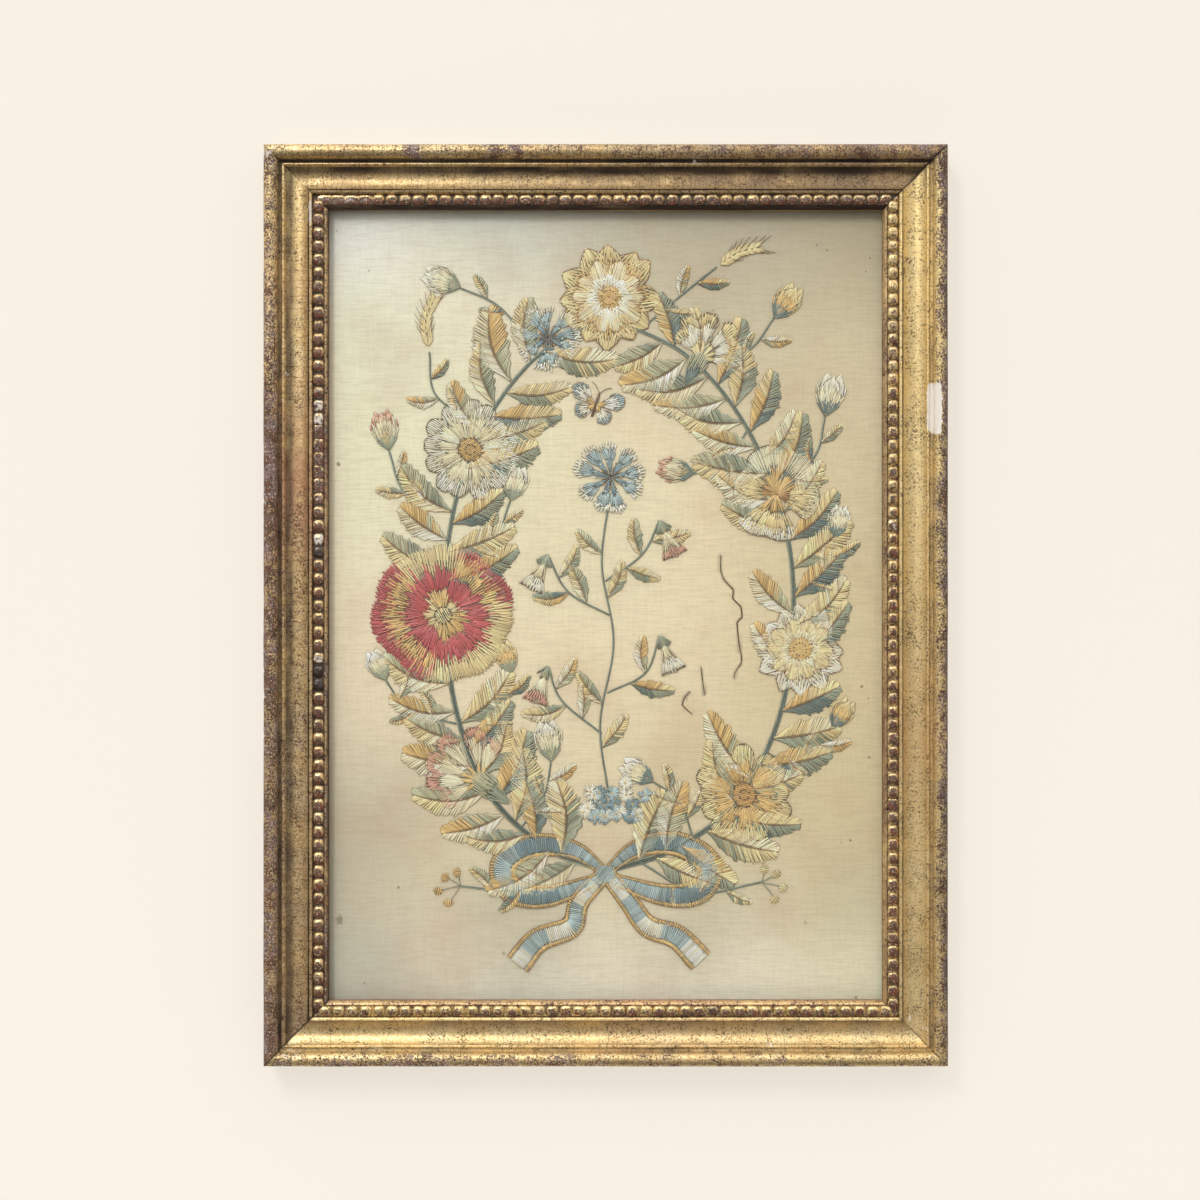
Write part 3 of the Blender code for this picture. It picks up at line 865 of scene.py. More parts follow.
# %% A strip of beads
def make_beading(side):
    rail_length = WIDTH if side in ("top", "bottom") else HEIGHT
    reach = rail_length / 2 - STRIP_MIDDLE
    count = BEADS[side]
    pitch = 2 * reach / count
    number = SIDES.index(side)
    own = np.random.default_rng(900 + number)
    centres = -reach + pitch * (np.arange(count) + 0.5) + own.normal(0, 0.14 * MM, count)
    plan, rise, spread = bead_dome()
    points, faces, rub, grime_and_shade, gesso, run = [], [], [], [], [], []
    stations = 2 * count
    share = np.linspace(-1, 1, stations)
    half = CHANNEL / 2 - 0.1 * MM
    edge = np.array([(-half, 0), (-half, 1.6), (0.25 * MM - half, 2.6), (0.6 * MM - half, 0.8),
                     (half - 0.5 * MM, 0.8), (half - 0.2 * MM, 1.8), (half, 1.2), (half, 0)])
    edge[:, 0] += STRIP_MIDDLE
    inward = np.broadcast_to(edge[None, :, 0], (stations, len(edge)))
    base_along = share[:, None] * (rail_length / 2 - inward - 0.25 * MM)
    base_out = STRIP_FOOT + STRIP_THICK * edge[None, :, 1] + 0 * base_along
    points.append(on_rail(side, base_along, inward, base_out).reshape(-1, 3))
    faces.append(rows(stations, len(edge), closed=True))
    rub.append(np.full(base_along.size, 0.8 if side in ("bottom", "right") else 1.05))
    # Dirt and painted shade across the strip, from one edge to the other
    strip_dirt_and_shade = np.array([0.2, 0.0, 0.0, FLOOR_SHADE[side], FLOOR_SHADE[side], 0.0, 0.1, 0.4])
    grime_and_shade.append(np.broadcast_to(strip_dirt_and_shade, base_along.shape).ravel())
    gesso.append(np.zeros(base_along.size))
    run.append(np.stack([base_along, inward, 0 * inward], axis=-1).reshape(-1, 3))
    start = base_along.size
    for centre in centres:
        tall, white, dark = 1.0, 0.0, 0.0
        for where, left, right, height_left, pale, black in LOSSES:
            if where == side and left * MM <= centre <= right * MM:
                tall, white, dark = height_left * own.uniform(0.8, 1.25), pale * own.uniform(0.7, 1.2), black
        stands = tall > 0.35 or dark > 0.5
        long = BEAD_LONG / 2 * own.uniform(0.93, 1.05) if stands else pitch * 0.62
        wide = BEAD_WIDE / 2 * own.uniform(0.93, 1.03)
        high_bead = (BEAD_HIGH - 0.35 * MM) * own.uniform(0.86, 1.0) * tall
        twist = own.normal(0, 0.05)
        slope_long, slope_wide = own.normal(0, 0.06, 2)
        a, b = plan[..., 0] * long, plan[..., 1] * wide
        along = centre + a * math.cos(twist) - b * math.sin(twist)
        sideways = a * math.sin(twist) + b * math.cos(twist)
        over = STRIP_MIDDLE + np.clip(sideways, -BEAD_WIDE / 2, BEAD_WIDE / 2)
        lift = rise[:, None] * high_bead * (1 + slope_long * plan[..., 0] + slope_wide * plan[..., 1])
        rough = 0.16 * MM * cloudy(along, over, 1.6 * MM, 1.4 * MM, 70 + number) * rise[:, None]
        if tall < 0.7:
            rough = rough * 2.2
        out = np.minimum(STRIP_FOOT + 0.3 * MM + lift + rough, STRIP_TOP)
        ring = rows(BEAD_UP, BEAD_ROUND, closed=True)
        points.append(on_rail(side, along, over, out).reshape(-1, 3))
        faces.append(ring + start)
        along_rail = (centre + reach) / (2 * reach)
        rub_start, rub_end = BEAD_RUB[side]
        worn = own.uniform(0.8, 1.15) * (rub_start * (1 - along_rail) + rub_end * along_rail)
        face = np.clip(1.9 - 2.0 * spread, 0, 1)
        # Upward runs toward the light's side of each bead, where the leaf is kept as a painted highlight
        upward = {"top": -plan[..., 1], "bottom": plan[..., 1]}.get(side, plan[..., 0])
        whole, middle_loss, lit_edge_kept = BEAD_LOSS[side]
        whole += 0.5 if tall < 0.5 else 0.0
        rub.append((worn * (whole + middle_loss * face - lit_edge_kept * upward)).ravel())
        # Painted shade at each bead's foot, deepest on its lower side
        foot = np.clip(0.5 - 1.5 * rise[:, None] - 0.55 * upward, 0, 0.85)
        grime_and_shade.append(np.maximum(foot, dark).ravel())
        gesso.append(np.full(along.size, white) * (0.6 + 0.4 * rise[:, None] + 0 * along).ravel())
        run.append(np.stack([along, over, 0 * over], axis=-1).reshape(-1, 3))
        start += along.size
    strip = new_piece(f"beaded_edging_{side}", np.concatenate(points), np.concatenate(faces), bead_gold)
    for name, values in (("rub", rub), ("grime_and_shade", grime_and_shade), ("gesso", gesso)):
        point_values(strip, name, np.concatenate(values))
    point_values(strip, "film", np.full(start, 0.1))
    point_values(strip, "sun", np.full(start, BEAD_SUN[side]))
    point_values(strip, "crackle", np.zeros(start))
    point_values(strip, "run", np.concatenate(run), "FLOAT_VECTOR")
    close_and_turn_out(strip)
    strip.data.set_sharp_from_angle(angle=math.radians(50))
    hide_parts(f"beading_{side}")
    return strip


edgings = [make_beading(side) for side in SIDES]
print("beads:", sum(BEADS.values()), "and", sum(len(e.data.polygons) for e in edgings), "faces")

# %% [markdown]
# ## The silk ground
# The ground is a fine plain-weave silk, strained over the board behind it. It isn't flat:
# stitching draws it into small puckers, mostly level ones, and everything laid on it has to
# follow, so its height is one function that the stitches use as well. Age has split it near
# the right of the middle. The splits are cut right through the sheet, so the dark behind
# shows in them.

# %% Silk height
SILK_STEP = 2.3 * MM
SILK_THICK = 0.85 * MM
SILK_SIZE = (silk_high.x - silk_low.x, silk_high.z - silk_low.z)
FACE_MARGIN = 0.22 * MM
pucker_rng = np.random.default_rng(77)
# Puckers as (x, z, half length, half width, turn, height)
PUCKERS = [(pucker_rng.uniform(-130, 140), pucker_rng.uniform(-200, 190), pucker_rng.uniform(14, 60),
            pucker_rng.uniform(1.6, 4.0), pucker_rng.normal(0.05, 0.2), pucker_rng.uniform(0.05, 0.17))
           for _ in range(44)]
# A few longer folds
PUCKERS += [(146.5, -44, 7, 1.4, 1.5, 0.2), (96, 12, 34, 3.0, 0.5, 0.18), (104, -2, 30, 3.0, 0.42, -0.16),
            (118, 52, 40, 4.0, 0.12, 0.16), (60, -22, 22, 2.6, 0.1, 0.16), (-118, 150, 40, 5.0, 0.1, 0.12)]


def silk_height(x, z):
    """How far the silk stands forward of its seat, from 0 to about 0.4 mm; x and z from the middle."""
    x, z = np.asarray(x, float), np.asarray(z, float)
    rise = 0.1 * cloudy(x, z, 70 * MM, 11 * MM, 31) + 0.045 * cloudy(x, z, 24 * MM, 4.5 * MM, 32)
    for at_x, at_z, long, wide, turn, tall in PUCKERS:
        u = (x / MM - at_x) * math.cos(turn) + (z / MM - at_z) * math.sin(turn)
        v = -(x / MM - at_x) * math.sin(turn) + (z / MM - at_z) * math.cos(turn)
        rise = rise + tall * np.exp(-(u / long) ** 2 - (v / wide) ** 2)
    return np.clip(rise + 0.12, 0, 0.42) * MM


print(f"silk rises {silk_height(0, 0) / MM:.2f} mm at the middle,", len(PUCKERS), "puckers")

# %% Splits
# Where the silk has split: corners from the middle, in millimetres, and the widest gap
SPLITS = [
    ([(68, 29), (68.2, 20), (70.5, 14.5), (75.6, 9), (75.2, 4), (80, -1), (80.8, -7), (77.8, -10.5),
      (79, -23), (80.6, -32), (79.8, -35), (76.8, -39.5), (76.2, -43)], 0.95),
    ([(56.4, -36.5), (57.2, -43), (58.6, -53)], 0.5),
    ([(50, -51), (46.6, -55), (45.4, -59), (47.6, -61.5), (51.2, -64.5)], 0.65),
]


print(len(SPLITS), "splits")

# %% Smooth paths
def smooth_path(corners, step=1.0, tension=0.5):
    """A smooth curve through corners, with a point about every step."""
    corners = np.asarray(corners, float)
    padded = np.concatenate([[2 * corners[0] - corners[1]], corners, [2 * corners[-1] - corners[-2]]])
    curve = []
    for before, here, there, beyond in zip(padded[:-3], padded[1:-2], padded[2:-1], padded[3:]):
        count = max(2, int(np.linalg.norm(there - here) / step))
        t = np.linspace(0, 1, count, endpoint=False)[:, None]
        leave, arrive = tension * (there - before), tension * (beyond - here)
        curve.append((2 * t ** 3 - 3 * t ** 2 + 1) * here + (t ** 3 - 2 * t ** 2 + t) * leave
                     + (3 * t ** 2 - 2 * t ** 3) * there + (t ** 3 - t ** 2) * arrive)
    return np.concatenate(curve + [corners[-1:]])


def path_normals(path):
    run = np.gradient(path, axis=0)
    side = np.stack([-run[:, 1], run[:, 0]], axis=1)
    return side / np.maximum(np.linalg.norm(side, axis=1, keepdims=True), 1e-9)

# %% A blade for each split
def split_blade(number, corners, widest):
    """A ragged thin blade the shape of one split, to cut it out with."""
    path = smooth_path(corners, 1.1, 0.18)
    share = np.linspace(0, 1, len(path))
    own = np.random.default_rng(40 + number)
    half = widest / 2 * np.sin(np.pi * share) ** 0.45 * own.uniform(0.45, 1.15, len(path)) + 0.05
    side = path_normals(path)
    outline = np.concatenate([path + side * half[:, None], (path - side * half[:, None])[::-1]]) * MM
    count = len(outline)
    before = np.full(count, -SILK_FACE - MM)
    front = np.stack([outline[:, 0] + CENTRE_X, before, outline[:, 1] + CENTRE_Z], axis=1)
    back = front + np.array([0, 3 * MM, 0])
    blade = bmesh.new()
    near = [blade.verts.new(point) for point in front]
    far = [blade.verts.new(point) for point in back]
    blade.faces.new(near)
    blade.faces.new(far[::-1])
    for i in range(count):
        blade.faces.new((near[i], far[i], far[(i + 1) % count], near[(i + 1) % count]))
    bmesh.ops.recalc_face_normals(blade, faces=blade.faces)
    mesh = bpy.data.meshes.new("blade")
    blade.to_mesh(mesh)
    blade.free()
    cutter = bpy.data.objects.new("blade", mesh)
    bpy.context.scene.collection.objects.link(cutter)
    return cutter


print("blades will cut", len(SPLITS), "splits")

# %% [markdown]
# ## Silk finish
# Undyed silk ages to buff, unevenly: browner low on the left. The broad washes stored on
# the points also hold painted light: a pale, cool painted reflection of the glass at the top
# left and along the bottom, painted shadow of the rails along the top and left edges, and
# painted light along the right edge. The weave is finer than any mesh that could be carried,
# so it is relief in the material: level and upright threads, while the thicker slubs that run
# along the weft are only in its colour. Small brown specks and a few smudges finish it.

# %% Washes and specks
# Broad washes as (x, z, spread, display colour), in millimetres from the middle. The cool
# pale entries at the top left and along the bottom are a painted reflection of the glass,
# and the darker ones at the top right are painted shadow under the top rail
WASHES = [
    (-155, 222, 40, (215, 218, 214)), (-60, 226, 50, (193, 198, 188)), (70, 222, 60, (168, 163, 143)),
    (150, 215, 40, (162, 152, 124)), (-140, 175, 45, (236, 223, 195)), (-60, 165, 50, (227, 216, 187)),
    (60, 165, 60, (204, 190, 160)), (140, 150, 50, (206, 192, 160)), (-140, 70, 70, (229, 217, 187)),
    (0, 60, 70, (227, 212, 179)), (140, 60, 60, (206, 191, 155)), (-140, -40, 60, (219, 204, 176)),
    (0, -40, 70, (222, 207, 175)), (140, -40, 60, (205, 189, 151)), (-150, -130, 45, (179, 171, 149)),
    (-60, -140, 60, (206, 193, 163)), (60, -140, 60, (201, 186, 150)), (140, -130, 50, (199, 184, 147)),
    (-155, -215, 34, (182, 177, 160)), (-60, -222, 45, (212, 206, 188)), (60, -222, 60, (222, 215, 196)),
    (150, -222, 40, (218, 210, 181)), (-50, -188, 28, (162, 155, 134)), (60, -188, 28, (166, 156, 130)),
    (140, -180, 30, (180, 171, 141)),
]
# Specks and smudges as (x, z, size, strength), in millimetres from the middle
SMUDGES = [
    (-157.5, -186, 2.6, 0.55), (-122.5, -167, 0.9, 0.8), (-158.2, 83.4, 1.3, 0.75),
    (-128.1, 67.6, 0.8, 0.5), (-142.8, -223.6, 0.8, 0.6), (144.8, -139.2, 1.0, 0.75),
    (139.5, -140.5, 0.6, 0.5), (148.1, -232, 1.0, 0.5), (98.5, 113, 1.0, 0.45), (115.3, 93.9, 0.9, 0.4),
    (156, -90, 1.0, 0.75), (-140, 198, 1.0, 0.4), (-60, -206, 1.3, 0.35), (118, -188, 1.1, 0.35),
    (125, 213, 0.7, 0.8), (131, 210, 0.7, 0.8), (156.5, 205.5, 0.6, 0.8), (154, 197.5, 0.7, 0.8),
    (81.2, -134.5, 0.9, 0.7), (96.3, -135.4, 0.8, 0.75),
]
STAIN = linear(116, 84, 52)
print(len(WASHES), "washes,", len(SMUDGES), "specks and smudges")

# %% Silk recipe
def washes_at(x, z):
    """The broad colour of the aged silk, with its painted reflection, shadow and light, at places in metres
    from the middle.
    """
    total, colour = np.zeros(x.shape), np.zeros((*x.shape, 3))
    # Painted shadow of the top and left rails along those edges of the silk, and painted light along its
    # right edge
    edge_shadow_and_light = 0.45 * np.exp(-np.clip(SIGHT_TALL / 2 - z, 0, 1) / (3.2 * MM))
    edge_shadow_and_light += 0.2 * np.exp(-np.clip(SIGHT_WIDE / 2 + x, 0, 1) / (2.4 * MM))
    edge_shadow_and_light -= 0.2 * np.exp(-np.clip(SIGHT_WIDE / 2 - x, 0, 1) / (3.6 * MM))
    x = x + 9 * MM * cloudy(x, z, 36 * MM, 30 * MM, 61)
    z = z + 9 * MM * cloudy(x, z, 30 * MM, 34 * MM, 62)
    for at_x, at_z, spread, shade in WASHES:
        near = np.exp(-((x / MM - at_x) ** 2 + (z / MM - at_z) ** 2) / (2 * (0.75 * spread) ** 2)) + 1e-9
        total += near
        colour += near[..., None] * np.array(linear(*shade))
    return np.clip(colour / total[..., None] * np.array([1.3, 1.3, 1.36]) * (1 - edge_shadow_and_light[..., None]), 0, 0.95)


def silk_cloth():
    r = Recipe("aged_silk", roughness=0.58, Sheen_Weight=0.12, Specular_IOR_Level=0.35)
    spot = r.place()
    weft = r.noise(r.place((0.3, 1, 3.4)), 330, detail=2, rough=0.6)
    warp = r.noise(r.place((3.6, 1, 0.3)), 320, detail=2, rough=0.6)
    slub = r.noise(r.place((1, 1, 30)), 26, detail=2, rough=0.6)
    tint = r.node("ShaderNodeAttribute", attribute_name="wash").outputs["Color"]
    coat = r.coat(tint, linear(150, 126, 88), r.math("MULTIPLY", r.step(weft, 0.4, 0.66), 0.13))
    coat = r.coat(coat, linear(150, 126, 88), r.math("MULTIPLY", r.step(warp, 0.4, 0.66), 0.07))
    coat = r.coat(coat, linear(140, 114, 78), r.math("MULTIPLY", r.step(slub, 0.54, 0.74), 0.05))
    cloudiness = r.noise(spot, 14, detail=3)
    coat = r.coat(coat, linear(196, 152, 124), r.math("MULTIPLY", r.step(cloudiness, 0.48, 0.7), 0.22))
    speck = r.step(r.noise(spot, 260, detail=2, rough=0.4), 0.775, 0.8)
    coat = r.coat(coat, STAIN, r.math("MULTIPLY", speck, 0.7))
    wander = r.math("MULTIPLY", r.noise(spot, 420, detail=2), 2.2)
    for at_x, at_z, size, cover in SMUDGES:
        gap = r.node("ShaderNodeVectorMath", operation="DISTANCE")
        r.feed(gap.inputs[0], spot)
        gap.inputs[1].default_value = (CENTRE_X + at_x * MM, -SILK_FACE, CENTRE_Z + at_z * MM)
        ragged = r.math("MULTIPLY", r.math("MULTIPLY", gap.outputs["Value"], 1 / (size * MM)), wander)
        inside = r.math("SUBTRACT", 1.0, r.step(ragged, 0.5, 1.3))
        coat = r.coat(coat, STAIN, r.math("MULTIPLY", inside, cover))
    # Darker brown along the splits: browned torn threads and painted shade of the lifted edges
    fray_and_shade = r.stored("fray_and_shade")
    coat = r.coat(coat, linear(84, 58, 36), fray_and_shade)
    threads = r.math("ADD", weft, r.math("MULTIPLY", warp, 0.6))
    return r.wear(Base_Color=coat, Normal=r.bump(threads, 0.07 * MM))


# %% Silk sheet
def strained_silk():
    wide, tall = SILK_SIZE
    columns, lines = int(wide / SILK_STEP), int(tall / SILK_STEP)
    x, z = np.meshgrid(np.linspace(-wide / 2, wide / 2, columns), np.linspace(-tall / 2, tall / 2, lines))
    out = SILK_FACE - FACE_MARGIN + silk_height(x, z)
    points = np.stack([CENTRE_X + x, -out, CENTRE_Z + z], axis=-1).reshape(-1, 3)
    silk = new_piece("silk_ground", points, rows(lines, columns, closed=False), silk_cloth())
    solid = silk.modifiers.new("thickness", "SOLIDIFY")
    solid.thickness, solid.offset = SILK_THICK, -1
    cutters = [split_blade(number, *split) for number, split in enumerate(SPLITS)]
    for cutter in cutters:
        cut = silk.modifiers.new("split", "BOOLEAN")
        cut.operation, cut.object, cut.solver = "DIFFERENCE", cutter, "EXACT"
    ready = bpy.data.meshes.new_from_object(silk.evaluated_get(bpy.context.evaluated_depsgraph_get()))
    silk.modifiers.clear()
    silk.data = ready
    for cutter in cutters:
        bpy.data.objects.remove(cutter)
    spots = np.empty(len(ready.vertices) * 3, np.float32)
    ready.vertices.foreach_get("co", spots)
    spots = spots.reshape(-1, 3)
    x, z = spots[:, 0] - CENTRE_X, spots[:, 2] - CENTRE_Z
    colour = washes_at(x, z)
    point_values(silk, "wash", np.concatenate([colour, np.ones((len(colour), 1))], axis=1), "FLOAT_COLOR")
    # Browned torn threads and painted shade of the lifted edges, within a millimetre of each split
    fray_and_shade = np.zeros(len(spots))
    for corners, _ in SPLITS:
        path = smooth_path(corners, 0.6, 0.18) * MM
        gap = np.min(np.hypot(x[:, None] - path[None, :, 0], z[:, None] - path[None, :, 1]), axis=1)
        fray_and_shade = np.maximum(fray_and_shade, np.clip(1 - gap / (0.9 * MM), 0, 1) * 0.8)
    point_values(silk, "fray_and_shade", fray_and_shade)
    silk.data.shade_smooth()
    silk.data.set_sharp_from_angle(angle=math.radians(45))
    return silk


silk = strained_silk()
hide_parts("silk_panel")
print("silk:", len(silk.data.polygons), "faces")

# %% [markdown]
# ## Glass, board and brads
# A pane of old crown or sheet glass keeps dust off. It is clear, so its material lets light
# straight through and only mirrors a little, more at a glancing angle. It mirrors on the way
# in only: light inside the pane isn't bent here, so it mustn't be trapped either. The pine
# board and its small cut brads are hidden behind, and keep the shapes of the solids.

# %% Glass, board and brads
def clear_glass():
    r = Recipe("old_glass")
    gloss = r.node("ShaderNodeBsdfGlossy")
    gloss.inputs["Roughness"].default_value = 0.03
    ripple = r.bump(r.noise(r.place(), 9, detail=2), 0.12 * MM)
    r.feed(gloss.inputs["Normal"], ripple)
    through = r.node("ShaderNodeBsdfTransparent")
    through.inputs["Color"].default_value = (0.985, 0.992, 0.985, 1)
    pane = r.node("ShaderNodeMixShader")
    fresnel = r.node("ShaderNodeFresnel")
    fresnel.inputs["IOR"].default_value = 1.5
    outside = r.math("SUBTRACT", 1.0, r.node("ShaderNodeNewGeometry").outputs["Backfacing"])
    r.feed(pane.inputs[0], r.math("MULTIPLY", fresnel.outputs[0], outside))
    r.feed(pane.inputs[1], through.outputs[0])
    r.feed(pane.inputs[2], gloss.outputs[0])
    r.feed(r.node("ShaderNodeOutputMaterial", is_active_output=True).inputs[0], pane.outputs[0])
    return r.material


def iron():
    r = Recipe("old_iron")
    spot = r.place()
    rust = r.noise(spot, 900, detail=4)
    coat = r.coat(linear(70, 66, 64), linear(112, 66, 40), r.step(rust, 0.45, 0.6))
    rough = r.blend(0.42, 0.8, r.step(rust, 0.4, 0.6))
    return r.wear(Base_Color=coat, Roughness=rough, Metallic=r.blend(0.85, 0.2, r.step(rust, 0.45, 0.6)))


def refinish(node, finish):
    piece = frame["nodes"][node]
    piece.data.materials.clear()
    piece.data.materials.append(finish)


BRADS = {"top": 2, "bottom": 2, "left": 3, "right": 3}
board_pine = pine("board_pine", (14, 14, 1), linear(158, 124, 86), linear(112, 82, 52))
old_iron = iron()
refinish("glass_pane", clear_glass())
refinish("backboard", board_pine)
for side, count in BRADS.items():
    for number in range(1, count + 1):
        refinish(f"brad_{side}_{number}", old_iron)
print("glass, board and brads finished")

# %% [markdown]
# ## Silk floss, stitch by stitch
# The needlework is untwisted silk floss laid in long satin stitches, thousands of them, and
# its sheen comes from the strands themselves. So every stitch here is real: a slim closed
# strand with three sides, which rises out of the silk, lies over it and dives back in. They
# are worked out as arrays, all at once, or the script would take hours.
# Each strand keeps its own dye, with a little unevenness, and its own lengthwise streaks, and
# is painted darker along its edges, as the shade where neighbouring strands meet.

# %% Floss sizes and material
# In millimetres: a strand's width and half thickness, the step between strands, and the
# room kept under the glass. A strand has four stations; at each it has its own height above
# the silk and its own share of the full width. RING is the strand's three-cornered section.
FLOSS_WIDTH, LEAF_WIDTH = 1.25, 1.5
SPACING, LEAF_SPACING = 1.06, 1.3
HALF_THICK = 0.34
STATIONS = np.array([0.0, 0.14, 0.86, 1.0])
ARCH = np.array([-0.9, 0.9, 0.9, -0.9])
TAPER = np.array([0.42, 1.0, 1.0, 0.42])
RING = np.array([(1, -0.35), (0, 1), (-1, -0.35)])
HEADROOM = 0.12


def floss_material():
    """Silk in its own dye, with lengthwise streaks, and painted shade along each strand's edges, where
    neighbouring strands meet.
    """
    r = Recipe("silk_floss", roughness=0.3, Sheen_Weight=0.2, Specular_IOR_Level=1.0)
    colour = r.node("ShaderNodeAttribute", attribute_name="dye").outputs["Color"]
    streak = r.noise(r.place((0.22, 7, 17), attribute="strand"), 1.0, detail=3, rough=0.6)
    # Painted shade: each strand is darker toward its edges, where its neighbours meet it
    ridge = r.step(r.stored("ridge"), 0.05, 0.62)
    edge = r.math("MULTIPLY", r.math("SUBTRACT", 1.0, ridge), 0.66)
    shade_and_streaks = r.node("ShaderNodeMix", data_type="RGBA", blend_type="MULTIPLY")
    streaked = r.math("MULTIPLY", r.step(streak, 0.42, 0.68), 0.28)
    r.feed(shade_and_streaks.inputs["Factor"], r.math("MAXIMUM", edge, streaked))
    r.feed(shade_and_streaks.inputs[6], colour)
    r.feed(shade_and_streaks.inputs[7], linear(142, 106, 66))
    return r.wear(Base_Color=shade_and_streaks.outputs[2], Normal=r.bump(streak, 0.05 * MM))


floss = floss_material()

# %% Even steps and turns
def resample(path, step):
    """Points at an even step along a path."""
    path = np.asarray(path, float)
    gone = np.concatenate([[0], np.cumsum(np.linalg.norm(np.diff(path, axis=0), axis=1))])
    marks = np.linspace(0, gone[-1], max(2, int(round(gone[-1] / step)) + 1))
    return np.stack([np.interp(marks, gone, path[:, axis]) for axis in (0, 1)], axis=1)


def turned(points, at, turn):
    """Points turned by an angle in degrees, from upright, and moved to a place."""
    c, s = math.cos(math.radians(turn)), math.sin(math.radians(turn))
    points = np.asarray(points, float)
    return np.stack([at[0] + c * points[..., 0] - s * points[..., 1],
                     at[1] + s * points[..., 0] + c * points[..., 1]], axis=-1)

# %% The needle
class Needle:
    """Keeps the stitches of one piece, in millimetres from the middle of the silk."""

    def __init__(self, seed):
        self.stitches = []
        self.rng = np.random.default_rng(seed)

    def lay(self, start, end, dye, width=FLOSS_WIDTH, bulge=0.16, lift=0.0, lift_end=None):
        """Straight stitches from start to end; every value may be one number or one each."""
        start, end = np.atleast_2d(start), np.atleast_2d(end)
        count = len(start)
        tone = np.broadcast_to(np.asarray(dye, float), (count, 3)) * self.rng.normal(1, 0.12, (count, 1))
        needleful = np.repeat(self.rng.normal(0, 1, count // 9 + 1), 9)[:count, None]
        tone = tone * (1 + needleful * (0.05, 0.06, 0.085))
        values = [np.broadcast_to(v, (count,))[:, None]
                  for v in (width, bulge, lift, lift if lift_end is None else lift_end)]
        self.stitches.append(np.concatenate([start, end, tone, *values], axis=1))

    def line(self, path, dye, width=0.5, lift=0.1, stitch=3.8, sway=0.1):
        """Stem stitch: short overlapping stitches that lean across the line."""
        path = resample(path, stitch * 0.55)
        side = path_normals(path) * sway
        if len(path) < 3:
            self.lay(path[:1], path[-1:], dye, width, 0.12, lift)
            return
        reach = np.minimum(np.arange(len(path) - 1) + 2, len(path) - 1)
        self.lay(path[:-1] - side[:-1], path[reach] + side[reach], dye, width, 0.12, lift)

    def knots(self, places, dye, size=1.1, lift=0.3):
        """Knots: short fat stitches, two crossed."""
        places = np.atleast_2d(places)
        tilt = self.rng.uniform(0, np.pi, len(places))
        half = np.stack([np.cos(tilt), np.sin(tilt)], axis=1) * size * 0.5
        self.lay(places - half, places + half, dye, size * 0.8, 0.2, lift)
        half = half[:, ::-1] * np.array([-1, 1])
        self.lay(places - half, places + half, dye, size * 0.8, 0.24, lift)

    def sew(self, name):
        """Turn the stitches into one piece on the silk."""
        data = np.concatenate(self.stitches)
        start, end, tone = data[:, 0:2], data[:, 2:4], data[:, 4:7]
        width, bulge, lift, lift_end = data[:, 7:11].T
        count = len(data)
        run = end - start
        length = np.maximum(np.linalg.norm(run, axis=1), 1e-3)
        side = np.stack([-run[:, 1], run[:, 0]], axis=1) / length[:, None]
        spine = start[:, None] + run[:, None] * STATIONS[None, :, None]
        seat = silk_height(spine[..., 0] * MM, spine[..., 1] * MM) / MM
        rise = seat + lift[:, None] + (lift_end - lift)[:, None] * STATIONS + HALF_THICK
        rise = rise + bulge[:, None] * ARCH[None, :]
        half = width[:, None] / 2 * TAPER[None, :]
        sideways = half[:, :, None] * RING[None, None, :, 0]
        flat_at = spine[:, :, None] + side[:, None, None] * sideways[..., None]
        out = rise[:, :, None] + HALF_THICK * TAPER[None, :, None] * RING[None, None, :, 1]
        out = np.minimum(SILK_FACE - FACE_MARGIN + out * MM, PANE_BACK - HEADROOM * MM)
        points = np.stack([CENTRE_X + flat_at[..., 0] * MM, -out, CENTRE_Z + flat_at[..., 1] * MM], axis=-1)
        one = [(i * 3 + c, i * 3 + (c + 1) % 3, i * 3 + 3 + (c + 1) % 3, i * 3 + 3 + c)
               for i in range(3) for c in range(3)]
        first = 12 * np.arange(count)[:, None, None]
        quads, ends = ((np.array(part)[None] + first).reshape(-1, len(part[0]))
                       for part in (one, [(2, 1, 0), (9, 10, 11)]))
        piece = new_piece(name, points.reshape(-1, 3), quads, floss, triangles=ends)
        shades = np.ones((count, 12, 4))
        shades[..., :3] = np.clip(tone, 0, 1)[:, None]
        point_values(piece, "dye", shades, "FLOAT_COLOR")
        strand = np.zeros((count, 4, 3, 3))
        strand[..., 0] = (length[:, None] * STATIONS)[:, :, None]
        strand[..., 1] = np.arange(3) / 3
        strand[..., 2] = np.arange(count)[:, None, None]
        point_values(piece, "strand", strand, "FLOAT_VECTOR")
        point_values(piece, "ridge", np.tile([0, 1, 0], 4 * count))
        print(name, count, "stitches,", 20 * count, "triangles")
        return piece


print("a stitch has", len(STATIONS) * len(RING), "points")

# %% [markdown]
# ## Petals and leaves
# A petal is worked lengthwise in bands of colour. The ends of one band fall between those of
# the next, which is how an embroiderer shades, and it is padded so that its middle stands
# up. A leaf is worked from its midrib outward in slanting stitches, one half pale and one
# half dark, with a saw edge. Thin lines of darker thread draw veins and outlines last.

